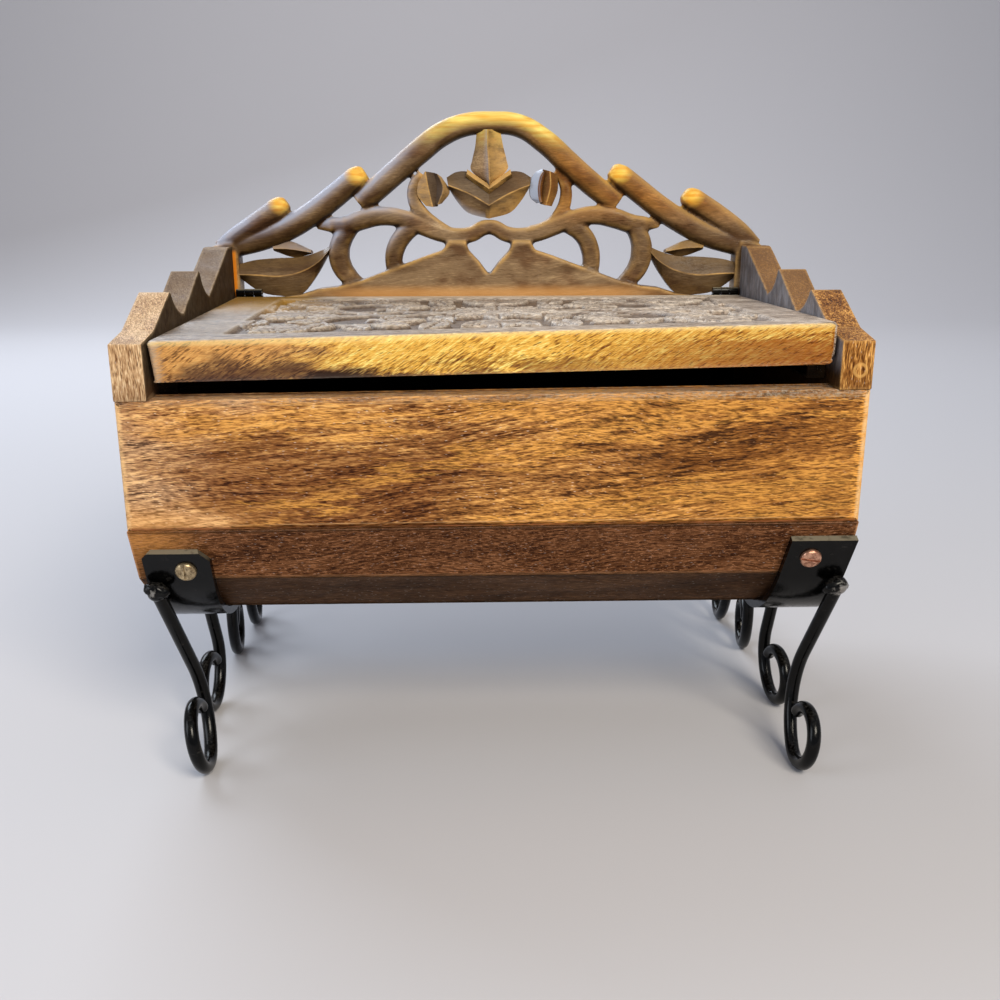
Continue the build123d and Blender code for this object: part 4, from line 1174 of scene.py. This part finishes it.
# %% Gable
gable = [(90.2, 150.2), (80.1, 151.6), (72.5, 154.0), (64.9, 154.8), (54.8, 157.3), (44.7, 161.0),
         (35.4, 164.3), (27.0, 167.4), (19.6, 169.8), (17.4, 173.4), (9.8, 173.4), (8.6, 169.6),
         (4.2, 165.0), (0.0, 159.4)]
base_z, shoulder_z = 144.0, 150.2
end_post = [(105.2, base_z), (105.2, 168.6), (107.0, 172.8), (111.5, 172.6), (117.4, 171.2),
            (half_length, 168.0), (half_length, base_z)]


def slab(bm, outline):
    """A flat piece of the board from its (x, z) outline, drawn on the front and extruded to the back."""
    extrude(bm, [(x, carving_front, z) for x, z in outline], (0, carving_back - carving_front, 0))


left_line = [(carving_x - x, z) for x, z in gable]
right_line = [(carving_x + x, z) for x, z in reversed(gable[:-1])]
base_line = [(half_length, shoulder_z), (half_length, base_z)]
base_line += [(-x, z) for x, z in reversed(base_line)]
slab(carving, left_line + right_line + base_line)
for side in (-1, 1):
    slab(carving, [(side * x, z) for x, z in end_post])
bmesh.ops.recalc_face_normals(carving, faces=carving.faces[:])
print("gable and ends added:", len(carving.verts), "vertices")

# %% [markdown]
# ## One skin round the branches
#
# So far the branches and the gable only overlap. A voxel remesh wraps one skin
# round them all, which leaves small soft fillets where they meet, as gouges do.
# The skin is trimmed level where the plain board takes over, and pressed flat on
# the board's two faces.

# %% Joined carving
plain_top = 146.0


def remeshed(bm, cell):
    """The overlapping shapes as one skin, in millimetres."""
    rough = bpy.data.meshes.new("carving_rough")
    bm.to_mesh(rough)
    bm.free()
    block = bpy.data.objects.new("carving_rough", rough)
    joiner = block.modifiers.new("join", "REMESH")
    joiner.mode = "VOXEL"
    joiner.voxel_size = cell
    joiner.adaptivity = 0.0
    joined = bmesh.new()
    add_mesh(joined, evaluated_mesh(block))
    return joined


carving = remeshed(carving, 0.62)
every_way = {"use_axis_" + axis: True for axis in "xyz"}
for _ in range(2):
    bmesh.ops.smooth_vert(carving, verts=carving.verts[:], factor=0.5, **every_way)
cut = bmesh.ops.bisect_plane(
    carving, geom=carving.verts[:] + carving.edges[:] + carving.faces[:], plane_co=(0, 0, plain_top),
    plane_no=(0, 0, 1), clear_inner=True,
)["geom_cut"]
bmesh.ops.contextual_create(carving, geom=only(bmesh.types.BMEdge, cut))
for vert in carving.verts:
    vert.co.y = min(max(vert.co.y, carving_front), carving_back)
print("carving joined:", len(carving.faces), "faces")

# %% [markdown]
# ## The plain part of the back board
#
# Below the carving the back is an ordinary board behind the two ends. It is cut
# like the front panel and kept in the same piece as the carving, because it is the
# same plank. The leaves join here too. Points marked "crisp" keep the wear that
# they were given, and the others get theirs further down.

# %% Back board
plain_section = [back_of(inner[0]), back_of(outer[0]), (carving_back, plain_top), (carving_front, plain_top)]
plain = cut_board(plain_section, -half_length, half_length)
round_ends(plain, side=1, width=1.6)
for name in mark_names:
    carving.verts.layers.float.new(name)
    plain.verts.layers.float.new(name)
for vert in plain.verts:
    vert[plain.verts.layers.float["crisp"]] = 1.0
bmesh.ops.recalc_face_normals(leaves, faces=leaves.faces[:])
for piece in (plain, leaves):
    carried = bpy.data.meshes.new("carried")
    piece.to_mesh(carried)
    piece.free()
    add_mesh(carving, carried)
print("back board with carving and leaves:", len(carving.faces), "faces")

# %% [markdown]
# ## The finish of the back
#
# A window behind on the left throws a cold light on the left-hand branches, and
# a warm lamp yellows the right-hand ones and the crown of the arch; the finish
# paints both in as colour. The hollows and undersides are painted dark as shade,
# and the sawn ends of the loose branches are bare, painted brighter where they face
# up and forward.

# %% Finish of the back
def fret_stains_and_light(coat, grain):
    x, z, up = coat.x, coat.z, coat.nz
    cloud = coat.here.noise(0.05, 0.08, 0.08, 3.0)
    ragged = cloud.ease(0.25, 0.75, -10.0, 10.0)
    wander = x + ragged
    # painted warm lamp light on the right-hand branches
    coat.lay(wander.ease(0.0, 30.0) * z.ease(174.0, 190.0) * 0.85, (190, 126, 50), "COLOR")
    blotch = coat.here.noise(0.055, 0.09, 0.1, 3.0)
    coat.lay(blotch.ease(0.4, 0.68, 0.0, 0.75), (156, 120, 96), "MULTIPLY")
    ring = z.ease(159.0, 163.0) * z.ease(184.0, 177.0) * abs(x).ease(24.0, 38.0)
    coat.lay(ring * 0.75, (176, 162, 144), "MULTIPLY")
    # a painted highlight on the up-facing tops of the branches
    coat.lay(up.ease(0.1, 0.85, 0.0, 0.6) * z.ease(158.0, 172.0), (206, 164, 100))
    # the cold side, painted as window light: the left-hand branches and the left rim of the lotus's ring get
    # painted shade on the sides turned from the window and a pale cold sheen on the sides that face it
    cold = wander.ease(-16.0, -50.0) * z.ease(166.0, 176.0)
    curl = x.ease(-28.0, -31.5) * x.ease(-37.0, -34.5) * (z.ease(186.0, 190.0) * z.ease(202.0, 199.0))
    cold = highest((cold, curl))
    window = up - coat.nx * 0.8
    coat.lay(cold * window.ease(0.35, -0.35, 0.0, 0.8), (104, 78, 46), "MULTIPLY")
    dapple = window.ease(-0.1, 0.75) * cloud.ease(0.3, 0.55, 0.45, 0.95)
    coat.lay(cold * dapple, (164, 172, 194))
    # painted shade on every underside
    coat.lay(up.ease(-0.05, -0.7, 0.0, 0.92), (34, 22, 10))
    # painted warm light on the golden crown of the arch and the warm foot of the gable; the sawn ends are
    # bare wood, painted brighter where they face up and forward
    streak = coat.here.noise(0.06, 0.5, 0.7, 3.0).ease(0.25, 0.75)
    reach = abs(x - 8.0) + ragged
    crown = reach.ease(50.0, 14.0) * z.ease(208.0, 219.0) * up.ease(-0.3, 0.3)
    coat.lay(crown, mix(streak, (232, 172, 60), (255, 232, 126)))
    foot = z.ease(156.5, 152.0) * abs(x).ease(84.0, 50.0)
    coat.lay(foot * (coat.ny.ease(-0.2, -0.7) * 0.55), (238, 176, 104))
    sawn_and_lit = coat.mark("sawn_and_lit") * (up - coat.ny).ease(0.1, 0.9)
    coat.lay(sawn_and_lit, mix(streak, (232, 158, 40), (255, 214, 96)))
    # painted shade in the hollows, a painted pale sheen on the petals, painted light that leaks past the
    # left end, and painted shade on the inside of the box
    deep = coat.mark("hollow")
    coat.lay(deep.ease(0.0, 1.0, 0.0, 0.8), (40, 26, 18))
    coat.lay(deep.ease(0.0, -1.0, 0.0, 0.9), (178, 190, 212))
    ahead = coat.ny.ease(-0.4, -0.8)
    leak = x.ease(-105.6, -106.4) * z.ease(148.0, 152.0) * z.ease(170.5, 168.5)
    coat.lay(leak * ahead, (226, 132, 30))
    coat.lay(z.ease(148.0, 144.0) * ahead, (34, 23, 16))


fret_wood = wood(
    "fret_wood", (88, 64, 40), (142, 116, 86), (188, 158, 118), shift=(0, 0, 60), figure=0.5, streaks=0.35,
    pores=0.15, fibre=0.45, glints=0.15, wear=0.8, worn_and_lit=(232, 182, 104), dust=0.1, rough=(0.3, 0.45),
    bump=0.4, stains_and_light=fret_stains_and_light,
)
back = finish_piece("carved_back", carving, fret_wood, "box", ["back_panel"], angle=46)

# %% [markdown]
# ## Ridges, hollows and sawn ends
#
# Bulge is measured the way a thumb would feel it: how far a point stands out from
# the average of its neighbours, along its own normal. Positive is a ridge, which
# wears pale and also gets a painted highlight, and negative is a hollow, which gets
# painted shade. The blunt ends of the four loose branches are bare yellow wood.

# %% Marks on the carving
def mark_bulges(mesh, ends):
    """Stores ridges, paled by handling and with a painted highlight, hollows in painted shade, and the bare
    branch ends on the carving; ends are (x, z, radius) of the bare branch ends.
    """
    count = len(mesh.vertices)
    place = point_values(mesh.vertices, "co", 3) / MM
    normal = point_values(mesh.vertices, "normal", 3)
    a, b = point_values(mesh.edges, "vertices", 2, int).T
    degree = np.bincount(np.concatenate((a, b)), minlength=count)

    def neighbours(values):
        """The sum over each point's neighbours."""
        total = np.zeros(values.shape)
        np.add.at(total, a, values[b])
        np.add.at(total, b, values[a])
        return total

    bulge = ((place - neighbours(place) / np.maximum(degree, 1)[:, None]) * normal).sum(1)
    for _ in range(2):
        bulge = (bulge + neighbours(bulge)) / (1 + degree)
    crisp = point_values(mesh.attributes["crisp"].data, "value")
    clear = (place[:, 2] - plain_top - 1) / 3  # the marks fade in above the plain board
    # ridges: paled by handling and with a painted highlight; hollows: painted shade
    for name, value in (("wear", bulge * 14 - 0.15), ("hollow", -bulge * 16)):
        value = np.clip(value, 0, 1) * np.clip(clear, 0, 1)
        data = mesh.attributes[name].data
        data.foreach_set("value", np.where(crisp > 0.5, point_values(data, "value"), value))
    sawn_and_lit = np.zeros(count)
    for x, z, radius in ends:
        gap = np.hypot(place[:, 0] - x, place[:, 2] - z)
        sawn_and_lit = np.maximum(sawn_and_lit, np.clip((radius - gap) / 4.0, 0, 1))
    add_mark(mesh, "sawn_and_lit", sawn_and_lit)
    print("bulge from", bulge.min().round(3), "to", bulge.max().round(3), "mm")


stick_ends = [(-53.2, 202.6, 7.4), (-86.2, 190.4, 6.4), (53.0, 203.6, 8.4), (84.0, 194.0, 8.0)]
mark_bulges(back.data, stick_ends)

# %% [markdown]
# ## Iron, steel and brass
#
# The straps, rods and hinges keep their solids, because a bent bar is exactly what
# the solids are. They get a brushed-on black paint, scuffed a little and rubbed
# off the straps' cut ends, with bare silver at the front welds. Of the strap
# screws, those on the left are brass and those on the right are coppery.

# %% Metal finishes
def painted_iron(name, welds=()):
    coat = Coat(name)
    lumps = coat.here.noise(0.35, 0.35, 0.35, 4.0, 0.6)
    brush = coat.here.noise(0.9, 0.2, 0.9)
    scuff = coat.here.noise(0.22, 0.22, 0.5, 5.0, 0.7).ease(0.60, 0.72)
    coat.color = mix(lumps.ease(0.35, 0.7), (1, 1, 1), (6, 6, 6))
    coat.lay(scuff * 0.3, (70, 66, 62))
    cut = coat.nz.ease(0.62, 0.8) * coat.z.ease(77.0, 79.0)
    coat.lay(cut * lumps.ease(0.3, 0.5, 0.4, 0.9), (126, 118, 100))
    lint = coat.dust(0.1)
    bare = lint
    if welds:
        ragged = lumps.ease(0.3, 0.7, -1.6, 1.6)
        gaps = [(coat.here.vector("DISTANCE", spot, "Value") + ragged, reach) for spot, reach in welds]
        silver = highest([gap.ease(reach, reach - 1.6) for gap, reach in gaps])
        coat.lay(silver, (150, 146, 140))
        bare = silver * 0.9
    coat.lay(lint, (160, 154, 146))
    plug(coat.shader["Metallic"], bare)
    coat.shader["Specular IOR Level"].default_value = 0.2
    return coat.finish(brush.ease(0.3, 0.7, 0.12, 0.24), lumps + brush * 0.3, 0.2, 0.15)


def turned_metal(name, bright, dull, right=None):
    """A screw's metal, scratched and dulled; right is a second pair of colours for the right-hand half."""
    coat = Coat(name)
    grime = coat.here.noise(0.9, 0.9, 0.9, 4.0, 0.65)
    dulled = grime.ease(0.35, 0.7)
    coat.color = mix(dulled, bright, dull)
    if right:
        coat.lay(coat.x.ease(-1.0, 1.0), mix(dulled, *right))
    coat.shader["Metallic"].default_value = 0.9
    scratches = coat.here.noise(4.0, 4.0, 0.6, 3.0)
    return coat.finish(grime.ease(0.3, 0.7, 0.28, 0.5), scratches, 0.35, 0.1)


black_iron = painted_iron("black_iron", [((115.0, -71.6, 65.6), 3.6), ((-112.0, -71.8, 67.0), 1.4)])
hinge_iron = painted_iron("hinge_iron")
screw_metal = turned_metal("screw_metal", (198, 176, 138), (112, 94, 70), ((226, 176, 148), (140, 92, 72)))
steel = turned_metal("screw_steel", (150, 146, 140), (84, 78, 72))
nail_steel = turned_metal("nail_steel", (110, 104, 98), (58, 50, 44))
metals = [  # the first word that a node's name holds decides
    ("strap_screws", screw_metal), ("hinge_screws", steel), ("hinge_pin", steel), ("nails", nail_steel),
    ("hinge", hinge_iron), ("strap", black_iron), ("leg", black_iron), ("scroll", black_iron),
]
dressed = {}
for name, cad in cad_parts.items():
    finish = next((metal for word, metal in metals if word in name), None)
    if finish:
        for slot in cad.material_slots:
            slot.material = finish
        dressed.setdefault(finish.name, []).append(name)
print(dressed)

# %% [markdown]
# ## Weld lumps
#
# The rods are held by short, rough beads. Each front one is a lumpy blob that
# spreads from the rod's top on to the strap, so a small sphere is stretched,
# pushed in and out by a wave pattern, and laid over the joint.

# %% Weld lumps
lump_size = (4.3, 2.6, 2.7)
bm = bmesh.new()
for x, y, z, lean in ((112.6, -69.0, 66.6, -14), (-110.4, -69.0, 67.4, 16)):
    blob = bmesh.ops.create_icosphere(bm, subdivisions=3, radius=1.0)["verts"]
    bmesh.ops.scale(bm, verts=blob, vec=lump_size)
    bmesh.ops.rotate(bm, verts=blob, cent=(0, 0, 0), matrix=Matrix.Rotation(math.radians(lean), 3, "Y"))
    for vert in blob:
        wave = math.sin(1.3 * vert.co.x + 1.7 * vert.co.z) * math.cos(1.6 * vert.co.y + vert.co.x)
        vert.co = vert.co * (1 + 0.1 * wave) + Vector((x, y, z))
finish_piece("weld_lumps", bm, black_iron, "box", angle=80)

# %% [markdown]
# ## Floor and light
#
# A plain pale floor curves up into a backdrop. A cool window behind on the left
# gives the lid its sheen, a warmer light stands in front on the right, a third
# washes the backdrop, and a faint fill comes from the left.

# %% Stage
scene = bpy.context.scene
scene.view_settings.view_transform = "Standard"
room_half = 12.0
sweep_start, sweep_radius, wall_top = 1.3, 1.2, 3.0
profile = [(-8.0, 0.0)]
for turn in (math.radians(3.0 * step) for step in range(31)):
    along, up = math.sin(turn), 1 - math.cos(turn)
    profile.append((sweep_start + sweep_radius * along, sweep_radius * up))
profile.append((sweep_start + sweep_radius, wall_top))
floor_bm = bmesh.new()
rows = [[floor_bm.verts.new((x, far, up)) for x in (-room_half, room_half)] for far, up in profile]
for near, far in zip(rows, rows[1:]):
    floor_bm.faces.new((near[0], near[1], far[1], far[0]))
floor_mesh = bpy.data.meshes.new("floor")
floor_bm.to_mesh(floor_mesh)
floor_bm.free()
floor_mesh.shade_smooth()
floor = bpy.data.objects.new("floor", floor_mesh)
scene.collection.objects.link(floor)
floor_finish = bpy.data.materials.new("pale_floor")
floor_finish.use_nodes = True
floor_shader = floor_finish.node_tree.nodes["Principled BSDF"].inputs
floor_shader["Base Color"].default_value = rgb(200, 198, 201)
floor_shader["Roughness"].default_value = 0.9
floor_mesh.materials.append(floor_finish)

world = bpy.data.worlds.new("studio")
scene.world = world
world.use_nodes = True
sky = world.node_tree.nodes["Background"].inputs
sky["Color"].default_value = rgb(214, 220, 232)
sky["Strength"].default_value = 0.45


def soft_light(name, place, aim, size, power, color):
    lamp = bpy.data.lights.new(name, "AREA")
    lamp.shape = "RECTANGLE"
    lamp.size, lamp.size_y = size
    lamp.energy = power
    lamp.color = color
    holder = bpy.data.objects.new(name, lamp)
    holder.location = place
    holder.rotation_euler = (Vector(aim) - Vector(place)).to_track_quat("-Z", "Y").to_euler()
    scene.collection.objects.link(holder)


soft_light("window_behind", (-0.7, 1.0, 1.15), (0, 0, 0.15), (1.2, 0.7), 18.0, (0.80, 0.89, 1.0))
soft_light("key_front", (0.35, -0.85, 0.80), (0, 0, 0.10), (0.5, 0.4), 11.0, (1.0, 0.92, 0.78))
soft_light("backdrop_wash", (0.0, 0.9, 1.5), (0, 2.3, 0.6), (2.0, 0.5), 12.0, (1.0, 0.97, 0.95))
soft_light("fill_left", (-0.95, -0.45, 0.45), (0, 0, 0.12), (0.5, 0.6), 3.0, (0.86, 0.92, 1.0))
print("floor, world and", len(bpy.data.lights), "lights ready")

# %% [markdown]
# ## Camera
#
# The camera stands low in front of the box and looks slightly down on it, a
# little to the right. Its three axes are worked out from the pitch, the yaw and
# the small roll, and go into its matrix as columns.

# %% Camera
eye = (-0.00654, -0.39255, 0.18824)
pitch, yaw, roll = (math.radians(a) for a in (15.73, 1.42, 0.11))
ahead = Vector((math.sin(yaw) * math.cos(pitch), math.cos(yaw) * math.cos(pitch), -math.sin(pitch)))
level_right = Vector((math.cos(yaw), -math.sin(yaw), 0.0))
level_down = ahead.cross(level_right)
right = math.cos(roll) * level_right + math.sin(roll) * level_down
down = math.cos(roll) * level_down - math.sin(roll) * level_right
lens = bpy.data.cameras.new("camera")
lens.sensor_width = 36.0
lens.lens = 37.74
lens.clip_start = 0.01
camera = bpy.data.objects.new("camera", lens)
camera.matrix_world = Matrix([(*row,) for row in zip(right, -down, -ahead, eye)] + [(0, 0, 0, 1)])
scene.collection.objects.link(camera)
scene.camera = camera
print("camera at", [round(c, 4) for c in camera.location])
